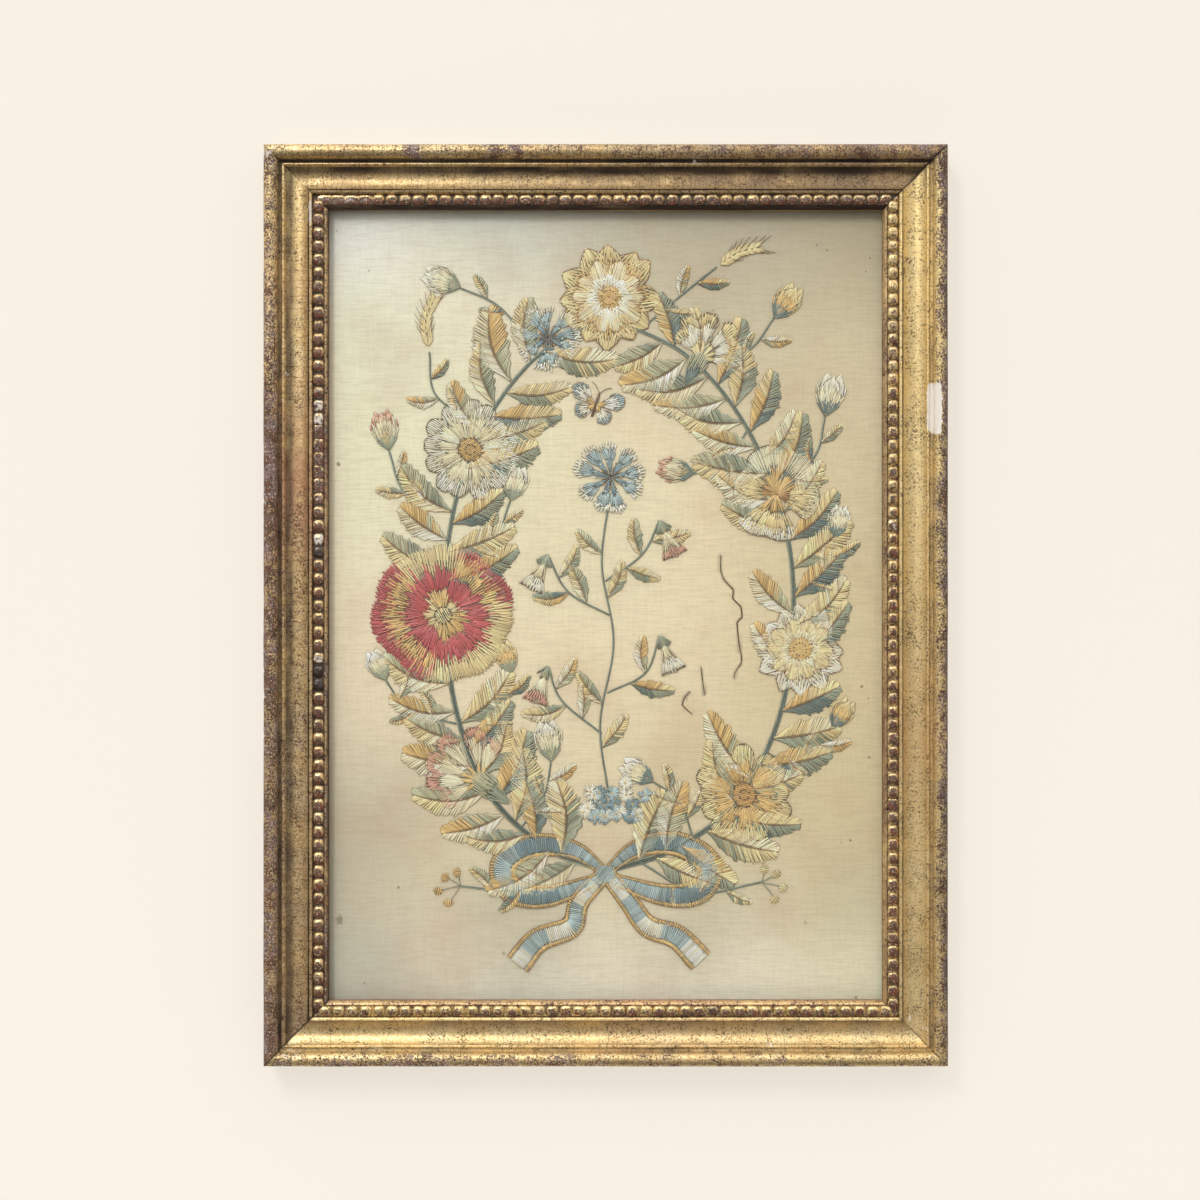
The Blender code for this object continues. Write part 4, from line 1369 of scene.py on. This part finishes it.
# %% Dyes
CREAM, IVORY = linear(250, 238, 203), linear(255, 249, 230)
PALE_GOLD, GOLD, OLD_GOLD = linear(247, 226, 172), linear(236, 200, 132), linear(214, 170, 104)
ROSE, PINK = linear(206, 98, 98), linear(228, 174, 150)
SAGE, GREY_GREEN, BLUE_GREEN = linear(204, 202, 168), linear(166, 172, 148), linear(118, 136, 130)
PALE_BLUE, DUSK_BLUE = linear(184, 202, 204), linear(142, 166, 174)
TAN, BROWN, INK = linear(182, 138, 90), linear(126, 92, 60), linear(60, 50, 48)
OUTLINE = linear(140, 116, 84)
print("sixteen dyes")

# %% Petal
def petal_shape(s, t, long, wide, belly, blunt, bend):
    """A place in a petal: s from -1 to 1 across, t from 0 at the base to 1 at the rim."""
    power = math.log(0.5) / math.log(belly)
    half = wide / 2 * np.sin(np.pi * np.clip(t * (1 - 0.42 * blunt), 0, 1) ** power) ** 0.8
    return np.stack([s * half + bend * long * t ** 2, long * t], axis=-1)


def petal(needle, at, turn, long, wide, bands, belly=0.6, blunt=0.0, drop=0.25, notch=0.0, fringe=0.0,
          bend=0.0, level=0.12, pad=0.3, edge=None):
    """Lengthwise satin from base to rim; bands are (where it starts, dye) from the base up."""
    rng = needle.rng
    count = max(4, int(wide / SPACING))
    s = np.linspace(-1, 1, count)
    rim = 1 - drop * np.abs(s) ** 2.2 - notch * np.exp(-(s / 0.3) ** 2)
    rim = rim - fringe * np.abs((s * wide / 5.2) % 1 - 0.5) * 2
    starts = [where for where, _ in bands] + [1.0]
    border = [np.full(count, starts[0])]
    border += [where + 0.06 * np.where(np.arange(count) % 2, 1, -1) + rng.normal(0, 0.035, count)
               for where in starts[1:-1]]
    border.append(1 + np.clip(rng.normal(0, 0.4, count), -0.7, 0.7) / long)
    shape = (long, wide, belly, blunt, bend)
    for number, (_, dye) in enumerate(bands):
        t0, t1 = border[number] * rim, border[number + 1] * rim
        a, b = petal_shape(s, t0, *shape), petal_shape(s, t1, *shape)
        close = np.abs(np.gradient(petal_shape(s, (t0 + t1) / 2, *shape)[:, 0])) / SPACING
        keep = (close > 0.5) | ((np.arange(count) % 2 == 0) & (close > 0.25)) | (np.arange(count) % 4 == 0)
        low, top = (level + pad * (1 - s ** 2) * np.sin(np.pi * np.clip(t, 0.04, 0.93)) for t in (t0, t1))
        needle.lay(turned(a, at, turn)[keep], turned(b, at, turn)[keep], dye,
                   lift=low[keep], lift_end=top[keep])
    if edge is not None:
        t = np.linspace(0.08, 1, 12)
        up = petal_shape(-1, t * rim[0], *shape)
        over = petal_shape(s, rim, *shape)
        down = petal_shape(1, t[::-1] * rim[-1], *shape)
        outline = turned(np.concatenate([up, over, down]), at, turn)
        needle.line(outline, edge, width=0.5, lift=level + 0.06, sway=0.03)

# %% Leaf
def leaf(needle, at, turn, long, wide, pale, dark, level=0.06, bend=0.1, teeth=0.2, vein=TAN):
    """Slanting stitches from the midrib; pale and dark are two dyes each, base then tip."""
    rng = needle.rng
    count = int(long / LEAF_SPACING)
    t = np.linspace(0.03, 0.97, count)
    for side, dyes in ((-1, pale), (1, dark)):
        saw = 1 - teeth * ((t * long / 5.6 + 0.3 * side) % 1)
        reach = wide / 2 * np.sin(np.pi * t ** 0.85) ** 0.75 * saw * rng.uniform(0.92, 1.06, count)
        far = np.clip(t + 0.3 * wide / long, 0, 1.04)
        rib = np.stack([bend * long * np.sin(np.pi * t), long * t], axis=1)
        tip = np.stack([bend * long * np.sin(np.pi * np.minimum(far, 1)) + side * reach, long * far], axis=1)
        first = (t + rng.normal(0, 0.09, count) < rng.uniform(0.35, 0.65))[:, None]
        dye = np.where(first, np.array(dyes[0]), np.array(dyes[1]))
        needle.lay(turned(rib, at, turn), turned(tip, at, turn), dye, LEAF_WIDTH,
                   lift=level + 0.16, lift_end=level)
        marks = (np.arange(0.14, 0.86, 5.6 / long) * count).astype(int)
        reached = rib[marks] + 0.9 * (tip[marks] - rib[marks])
        needle.lay(turned(rib[marks], at, turn), turned(reached, at, turn), vein, 0.4, 0.2,
                   lift=level + 0.3, lift_end=level + 0.16)
    t = np.linspace(0, 0.98, 14)
    middle_rib = np.stack([bend * long * np.sin(np.pi * t), long * t], axis=1)
    needle.line(turned(middle_rib, at, turn), vein, width=0.5, lift=level + 0.38, sway=0.05)


print("petal and leaf ready")

# %% [markdown]
# ## Flowers
# The design is the builder's own: ordinary garden flowers in the cream, gold, faded rose and
# blue-green that old silks keep. Each kind is one short function that turns petals about a
# centre, so that no two are quite alike.

# %% Rings and round flowers
def around(count, rng, loose=5.0, start=0.0):
    return start + np.arange(count) * 360 / count + rng.normal(0, loose, count)


def ring_of(at, angles, reach):
    angles = np.radians(angles)
    return np.asarray(at, float) + np.stack([np.cos(angles), np.sin(angles)], axis=1) * reach


def heart(needle, at, size, dye, dark=BROWN, level=0.3):
    """A round centre: padded satin with a ring of knots."""
    s = np.linspace(-0.95, 0.95, max(5, int(size / SPACING)))
    half = np.sqrt(1 - s ** 2) * size / 2
    tilt = needle.rng.uniform(0, 180)
    ends = [turned(np.stack([s * size / 2, sign * half], axis=1), at, tilt) for sign in (-1, 1)]
    needle.lay(ends[0], ends[1], dye, bulge=0.12 + 0.25 * half / size, lift=level)
    if dark is not None:
        needle.knots(ring_of(at, around(int(size * 1.5), needle.rng, 4), size * 0.5), dark, 1.1, level + 0.12)


def daisy(needle, at, size, bands, centre, petals=13, level=0.12, edge=OUTLINE):
    for turn in around(petals, needle.rng, 4):
        long = size / 2 * needle.rng.uniform(0.9, 1.06)
        petal(needle, at, turn, long, size * 2.9 / petals, bands, belly=0.66, blunt=0.5, notch=0.05,
              level=level, pad=0.26, edge=edge)
    heart(needle, at, size * 0.23, centre, level=level + 0.3)
    needle.knots(ring_of(at, around(14, needle.rng, 9), size * 0.05), BROWN, 1.2, level + 0.56)


def dahlia(needle, at, size, rings, centre):
    """Rings of pointed petals, the inner ones over the outer ones."""
    for number, (count, reach, wide, bands, edge) in enumerate(rings):
        for turn in around(count, needle.rng, 4, start=number * 180 / count):
            petal(needle, at, turn, size / 2 * reach * needle.rng.uniform(0.93, 1.05), size * wide, bands,
                  belly=0.58, blunt=0.15, drop=0.2, level=0.08 + 0.18 * number, pad=0.22, edge=edge)
    heart(needle, at, size * 0.14, centre, level=0.6)

# %% Poppy, pink, cornflower and pansy
def poppy(needle, at, size, turn, rose_bands, gold_bands):
    """Six broad banded petals, back three first, round a dark eye."""
    for number, away in enumerate((60, 180, 300, 0, 120, 240)):
        front = number > 2
        bands = rose_bands if number % 2 == 0 else gold_bands
        petal(needle, at, turn + away + needle.rng.normal(0, 2.5), size * needle.rng.uniform(0.49, 0.53),
              size * (0.62 if front else 0.66), bands, belly=0.68, blunt=0.7, drop=0.22, notch=0.05,
              fringe=0.04, level=0.24 if front else 0.06, pad=0.42)
    heart(needle, at, size * 0.12, PALE_GOLD, INK, level=0.6)
    outer = ring_of(at, around(18, needle.rng, 6), size * 0.115)
    needle.lay(np.repeat([at], 18, axis=0), outer, INK, 0.34, 0.1, 0.8, 0.6)
    needle.knots(outer, OLD_GOLD, 1.1, 0.62)


def pink_flower(needle, at, size, turn, bands, green, edge=OUTLINE):
    """A fringed pink from the side: a fan of petals over a long green cup."""
    for spread, long in ((-68, 0.46), (68, 0.46), (-42, 0.56), (42, 0.56), (-15, 0.62), (14, 0.6)):
        petal(needle, at, turn + spread + needle.rng.normal(0, 3), size * long, size * 0.36, bands,
              belly=0.74, blunt=0.9, drop=0.16, fringe=0.1, level=0.1 + 0.003 * (68 - abs(spread)),
              pad=0.3, edge=edge)
    foot = turned(np.array([(0, -0.36 * size)]), at, turn)[0]
    petal(needle, foot, turn, size * 0.46, size * 0.24, [(0, green[0]), (0.55, green[1])],
          belly=0.55, blunt=0.7, level=0.45, pad=0.25)


def cornflower(needle, at, size, bands, centre):
    for turn in around(9, needle.rng, 5):
        long = size * 0.44 * needle.rng.uniform(0.9, 1.06)
        petal(needle, ring_of(at, [turn + 90], size * 0.06)[0], turn, long, size * 0.36, bands,
              belly=0.72, blunt=0.9, drop=0.1, fringe=0.2, level=0.12, pad=0.24)
    for reach, dye in ((0.2, centre), (0.13, BROWN)):
        tips = ring_of(at, around(11, needle.rng, 8), size * reach)
        needle.lay(np.repeat([at], 11, axis=0), tips, dye, 0.6, 0.3, 0.4, 0.5)
        needle.knots(tips, OLD_GOLD if dye is BROWN else IVORY, 1.2, 0.5)


def pansy(needle, at, size, turn, back, side, lip):
    """Two upright petals, two side ones and a wide lip with dark rays."""
    for away, long, wide, bands, level in ((-26, 0.52, 0.5, back, 0.06), (28, 0.52, 0.5, back, 0.12),
                                           (-90, 0.46, 0.44, side, 0.18), (92, 0.46, 0.44, side, 0.18),
                                           (180, 0.5, 0.7, lip, 0.26)):
        petal(needle, at, turn + away, size * long, size * wide, bands, belly=0.64, blunt=0.8, drop=0.22,
              notch=0.07 if away == 180 else 0.0, level=level, pad=0.34, edge=OUTLINE)
    for away in (-112, -100, -88, 84, 96, 108, 156, 168, 180, 192, 204):
        ends = turned(np.array([(0, size * 0.05), (0, size * 0.22)]), at, turn + away)
        needle.lay(ends[:1], ends[1:], BROWN, 0.42, 0.1, 0.66, 0.6)
    needle.knots(np.asarray(at), OLD_GOLD, 2.2, 0.72)

# %% Small flowers, buds and bells
def forget_me_not(needle, at, size, dye, centre=GOLD):
    for turn in around(5, needle.rng, 6, start=needle.rng.uniform(0, 72)):
        petal(needle, at, turn, size / 2, size * 0.46, [(0, dye)], belly=0.64, blunt=0.8,
              level=0.12, pad=0.24)
    needle.knots(np.asarray(at), centre, 1.6, 0.4)


def bud(needle, at, size, turn, bands, green):
    """A closed bud in its calyx."""
    for spread in (-9, 9, 0):
        petal(needle, at, turn + spread, size * (1.0 if spread else 0.94), size * 0.5, bands, belly=0.54,
              level=0.08 if spread else 0.26, pad=0.3, edge=None if spread else OUTLINE)
    for spread in (-34, 34, -12, 12):
        petal(needle, at, turn + spread, size * 0.5, size * 0.18, [(0, green)], belly=0.4,
              level=0.42, pad=0.12)


def bell(needle, at, size, turn, bands, green):
    """A hanging bell with a fringed mouth and a small cap."""
    petal(needle, at, turn, size, size * 0.78, bands, belly=0.74, blunt=0.9, drop=0.02, fringe=0.12,
          level=0.1, pad=0.42, edge=OUTLINE)
    petal(needle, at, turn, size * 0.34, size * 0.42, [(0, green)], belly=0.6, blunt=0.7, level=0.4, pad=0.2)

# %% Wheat, berries and a butterfly
def wheat(needle, path, grains, dye, awn):
    """An ear: pairs of grains up a stem, each with a fine awn."""
    spine = resample(smooth_path(path), 0.5)
    run = np.gradient(spine, axis=0)
    for number in range(grains):
        k = int((0.1 + 0.85 * number / grains) * (len(spine) - 1))
        heading = math.degrees(math.atan2(run[k, 1], run[k, 0])) - 90
        for side in (-1, 1):
            petal(needle, spine[k], heading - side * 26, 7.4, 3.2, [(0, dye)], belly=0.45,
                  level=0.14, pad=0.3)
            hair = turned(np.array([(0, 6.2), (side * 0.6, 14)]), spine[k], heading - side * 21)
            needle.lay(hair[:1], hair[1:], awn, 0.34, 0.1, 0.2, 0.06)


def berries(needle, at, places, dye, stem):
    for dx, dz in places:
        spot = np.asarray(at, float) + (dx, dz)
        halfway = (np.asarray(at) + spot) / 2 + (0.8, 0.4)
        needle.line(np.array([at, halfway, spot]), stem, width=0.5, lift=0.08)
        heart(needle, spot, 5.2, dye, dark=None, level=0.16)


def butterfly(needle, at, size, turn):
    wing = [(0, GOLD), (0.42, IVORY), (0.78, PALE_BLUE)]
    for away, long, wide in ((-62, 0.56, 0.36), (62, 0.56, 0.36), (-124, 0.4, 0.34), (124, 0.4, 0.34)):
        petal(needle, at, turn + away, size * long, size * wide, wing,
              belly=0.68, blunt=0.5, drop=0.3, level=0.12, pad=0.26, edge=TAN)
    body = turned(np.array([(0, -0.22), (0, 0.24)]) * size, at, turn)
    for shift in (-0.4, 0.4):
        needle.lay(body[:1] + (shift, 0), body[1:] + (shift, 0), BROWN, 1.0, 0.3, 0.4)
    for side in (-1, 1):
        needle.line(turned(smooth_path([(0, 0.24 * size), (side * 0.1 * size, 0.36 * size),
                                        (side * 0.2 * size, 0.4 * size)]), at, turn), BROWN, 0.34, 0.2, 2.0)


print("eleven kinds of flower, and a butterfly")

# %% [markdown]
# ## The design
# Two branches rise from a ribbon bow and close in an open wreath, with a small spray and a
# butterfly inside it. The flowers go where the branches bend, the largest and reddest on
# the left. Stems are worked first, then leaves, then flowers, as an embroiderer does, so
# that whatever is in front lies on top. The right side leaves the split silk bare.

# %% Stems
BRANCHES = (
    [(-3, -156), (-36, -143), (-70, -110), (-89, -60), (-95, 0), (-90, 56), (-72, 106), (-42, 146),
     (-6, 168)],
    [(5, -156), (38, -145), (76, -118), (102, -68), (111, -10), (106, 48), (84, 104), (50, 146),
     (8, 168)],
)
SPRAY = [(2, -112), (-3, -70), (5, -22), (-2, 24), (3, 66)]
TWIGS = [
    [(-50, -132), (-36, -112), (-32, -92)], [(-82, -80), (-62, -62), (-56, -40)],
    [(-88, -70), (-116, -62), (-130, -44)], [(-93, 30), (-66, 40), (-56, 62)],
    [(-90, 56), (-118, 66), (-128, 92)], [(-72, 106), (-100, 124), (-104, 150)],
    [(-40, 148), (-62, 176), (-86, 188)], [(52, -138), (44, -116), (28, -104)],
    [(94, -90), (120, -88), (134, -72)], [(110, 8), (130, 20), (136, 40)],
    [(100, 62), (124, 88), (130, 112)], [(84, 104), (70, 84), (52, 78)],
    [(54, 142), (84, 150), (100, 170)], [(22, 164), (46, 184), (66, 200)],
    [(-16, -152), (-50, -168), (-86, -166)], [(20, -152), (54, -170), (92, -164)],
    [(-2, -76), (-26, -56), (-34, -36)], [(1, -52), (24, -40), (32, -18)],
    [(3, -6), (-22, 8), (-34, 30)], [(0, 14), (22, 30), (32, 50)],
]
stems = Needle(11)
for corners in BRANCHES:
    trunk = resample(smooth_path(corners), 1.0)
    side = path_normals(trunk)
    thick = np.linspace(1.25, 0.5, len(trunk))[:, None]
    for place, dye in ((-1, BLUE_GREEN), (1, GREY_GREEN), (0, linear(100, 114, 100))):
        stems.line(trunk + side * thick * place, dye, width=1.05, lift=0.06 if place else 0.22, stitch=4.8)
for corners in [SPRAY] + TWIGS:
    twig = smooth_path(corners)
    stems.line(twig, BLUE_GREEN, width=0.7, lift=0.06, stitch=4.2)
    stems.line(twig + path_normals(twig) * 0.55, GREY_GREEN, width=0.65, lift=0.1, stitch=4.2)
stems.sew("floss_stems")

# %% Leaves
PALE_HALVES = [(CREAM, PALE_GOLD), (PALE_GOLD, CREAM), (IVORY, CREAM), (GOLD, PALE_GOLD)]
DARK_HALVES = [(GREY_GREEN, SAGE), (BLUE_GREEN, GREY_GREEN), (SAGE, GOLD), (GREY_GREEN, PALE_GOLD)]
# Places kept clear for the flowers, as (x, z, reach)
FLOWER_SPOTS = [(-96, -6, 42), (-74, -106, 30), (-80, 92, 30), (-36, 156, 20), (0, 182, 32), (82, -112, 30),
                (114, -26, 27), (101, 66, 28), (58, 148, 22), (-6, 118, 22)]
# Leaves on a twig and on the spray, as (how far along, which side)
TWIG_LEAVES = ((0.3, 1), (0.52, -1), (0.74, 1))
SPRAY_LEAVES = ((0.16, 1), (0.3, -1), (0.66, 1), (0.8, -1))
leaves = Needle(12)
sprigs = Needle(16)


def leaf_along(needle, trunk, k, side, long, wide, number, spread):
    run = np.gradient(trunk, axis=0)
    turn = math.degrees(math.atan2(run[k, 1], run[k, 0])) - 90 - side * spread
    tip = turned(np.array([(0, long * 0.85)]), trunk[k], turn)[0]
    hidden = any(math.hypot(tip[0] - x, tip[1] - z) < reach * 0.9 for x, z, reach in FLOWER_SPOTS)
    on_split = 40 < tip[0] < 88 and -68 < tip[1] < 34
    if not (hidden or on_split):
        leaf(needle, trunk[k], turn, long, wide, PALE_HALVES[number % 4], DARK_HALVES[number * 3 % 4],
             bend=side * needle.rng.uniform(0.03, 0.12))


for branch in BRANCHES:
    trunk = resample(smooth_path(branch), 1.0)
    for number, k in enumerate(range(20, len(trunk) - 24, 17)):
        for side in (-1, 1):
            long = leaves.rng.uniform(32, 46)
            leaf_along(leaves, trunk, k + 5 * side, side, long, long * leaves.rng.uniform(0.42, 0.54),
                       2 * number + (side > 0), leaves.rng.uniform(40, 66))
for number, corners in enumerate([SPRAY] + TWIGS):
    twig = resample(smooth_path(corners), 1.0)
    big = number in (0, 17, 18, 19, 20)
    for share, side in TWIG_LEAVES if number else SPRAY_LEAVES:
        long = sprigs.rng.uniform(20, 27) if big else sprigs.rng.uniform(13, 19)
        leaf_along(sprigs, twig, int(share * (len(twig) - 1)), side, long, long * 0.44, number + (side > 0),
                   sprigs.rng.uniform(34, 58))
leaves.sew("floss_leaves")
sprigs.sew("floss_small_leaves")

# %% Flowers of the wreath
ROSE_BANDS = [(0, PALE_GOLD), (0.3, ROSE), (0.62, GOLD), (0.8, ROSE)]
GOLD_BANDS = [(0, GOLD), (0.42, ROSE), (0.7, PALE_GOLD)]
CREAM_BANDS = [(0, GOLD), (0.3, CREAM), (0.72, IVORY)]
WARM_BANDS = [(0, OLD_GOLD), (0.35, GOLD), (0.7, PALE_GOLD)]
BLUSH_BANDS = [(0, GOLD), (0.4, CREAM), (0.84, PINK)]
BLUE_BANDS = [(0, DUSK_BLUE), (0.5, PALE_BLUE), (0.85, IVORY)]
left_flowers, right_flowers = Needle(13), Needle(14)
poppy(left_flowers, (-96, -6), 84, 12, ROSE_BANDS, GOLD_BANDS)
pink_flower(left_flowers, (-74, -104), 60, 52, BLUSH_BANDS, (GREY_GREEN, SAGE))
daisy(left_flowers, (-80, 92), 60, CREAM_BANDS, GOLD, petals=13)
cornflower(left_flowers, (-34, 158), 42, BLUE_BANDS, DUSK_BLUE)
# A dahlia's rings are (petals, reach, width, bands, outline)
gold_rings = [(12, 1.0, 0.26, WARM_BANDS, TAN), (10, 0.74, 0.22, CREAM_BANDS[:2], TAN),
              (8, 0.46, 0.18, [(0, GOLD), (0.5, IVORY)], None)]
cream_rings = [(12, 1.0, 0.25, CREAM_BANDS, TAN), (10, 0.74, 0.21, [(0, GOLD), (0.4, PALE_GOLD)], TAN),
               (8, 0.46, 0.18, [(0, GOLD), (0.55, CREAM)], None)]
dahlia(left_flowers, (2, 182), 62, gold_rings, OLD_GOLD)
dahlia(right_flowers, (115, -26), 54, cream_rings, GOLD)
daisy(right_flowers, (82, -112), 60, WARM_BANDS, OLD_GOLD, petals=12)
pansy(right_flowers, (101, 66), 56, -14, [(0, GOLD), (0.5, CREAM)],
      [(0, OLD_GOLD), (0.4, PALE_GOLD), (0.8, CREAM)], [(0, GOLD), (0.45, PALE_GOLD), (0.8, IVORY)])
pink_flower(right_flowers, (56, 146), 48, -30, [(0, PALE_GOLD), (0.45, IVORY), (0.8, PALE_GOLD)],
            (BLUE_GREEN, SAGE))
for spot, turn, size, bands in (((-32, -92), 8, 25, CREAM_BANDS), ((-56, -40), 16, 20, WARM_BANDS),
                                ((-130, -44), 26, 20, CREAM_BANDS), ((-56, 62), -14, 22, CREAM_BANDS),
                                ((-128, 92), 12, 24, BLUSH_BANDS), ((-86, 188), 68, 24, CREAM_BANDS)):
    bud(left_flowers, spot, size, turn, bands, GREY_GREEN)
for spot, turn, size, bands in (((28, -104), 60, 22, CREAM_BANDS), ((134, -72), -34, 20, WARM_BANDS),
                                ((136, 40), -10, 20, CREAM_BANDS), ((130, 112), -12, 26, CREAM_BANDS),
                                ((52, 78), 80, 22, BLUSH_BANDS), ((100, 170), -36, 24, WARM_BANDS)):
    bud(right_flowers, spot, size, turn, bands, BLUE_GREEN)
wheat(left_flowers, [(-104, 150), (-106, 168), (-100, 184)], 8, PALE_GOLD, TAN)
wheat(right_flowers, [(66, 200), (78, 208), (92, 212)], 7, PALE_GOLD, TAN)
left_flowers.sew("floss_flowers_left")
right_flowers.sew("floss_flowers_right")

# %% Spray, butterfly and small sprigs
inner = Needle(15)
for spot, turn, bands in (((-34, -36), 160, BLUSH_BANDS), ((32, -18), 202, CREAM_BANDS),
                          ((-34, 30), 154, CREAM_BANDS), ((32, 50), 204, BLUSH_BANDS)):
    bell(inner, spot, 24, turn, bands, GREY_GREEN)
cornflower(inner, (3, 76), 46, BLUE_BANDS, DUSK_BLUE)
butterfly(inner, (-6, 118), 32, -18)
for _ in range(22):
    angle, reach = inner.rng.uniform(0, 2 * np.pi), inner.rng.uniform(3, 17)
    spot = (2 + reach * 1.4 * math.cos(angle), -116 + reach * 0.8 * math.sin(angle))
    forget_me_not(inner, spot, 9.5, [PALE_BLUE, DUSK_BLUE, IVORY][int(inner.rng.integers(3))])
berries(inner, (-86, -166), [(-9, 5), (-13, -3), (-7, -10), (-2, 8)], GOLD, GREY_GREEN)
berries(inner, (92, -164), [(9, 5), (13, -3), (8, -10), (2, 8)], PALE_GOLD, GREY_GREEN)

# %% Ribbon bow
RIBBON = [
    [(0, -158), (-18, -145), (-42, -142), (-60, -152), (-56, -168), (-34, -172), (0, -160)],
    [(0, -158), (18, -144), (42, -141), (61, -153), (55, -169), (33, -171), (0, -160)],
    [(-2, -160), (-16, -176), (-20, -190), (-40, -198), (-52, -212)],
    [(2, -160), (15, -177), (25, -190), (42, -196), (56, -210)],
]
for number, corners in enumerate(RIBBON):
    path = resample(smooth_path(corners), SPACING)
    share = np.linspace(0, 1, len(path))
    narrow = np.sin(np.pi * np.clip(share, 0.04, 0.96)) if number < 2 else 0.4 + 0.6 * share
    half = (1.6 + 6.0 * narrow ** 0.7)[:, None]
    side = path_normals(path)
    lift = 0.16 + 0.12 * (number > 1) + 0.12 * np.sin(share * 9 * np.pi)
    twist = ((share * 5 + 0.3 * number) % 2 < 1)[:, None]
    silk_dye = np.where(twist, np.array(PALE_BLUE), np.array(IVORY if number > 1 else DUSK_BLUE))
    ragged = inner.rng.normal(0, 0.05, (len(path), 1))
    for start, end, dye in ((-1.0, -0.7, GOLD), (-0.72, 0.72, silk_dye), (0.7, 1.0, GOLD)):
        soft = half * (ragged if abs(start) < 0.9 else 0)
        inner.lay(path + side * (half * start + soft), path + side * (half * end - soft), dye, lift=lift)
    for edge in (-1.03, 1.03):
        inner.line(path + side * half * edge, TAN, width=0.4, lift=0.2, sway=0.03)
heart(inner, (0, -159), 12, PALE_BLUE, GOLD, level=0.5)
inner.sew("floss_spray_and_bow")
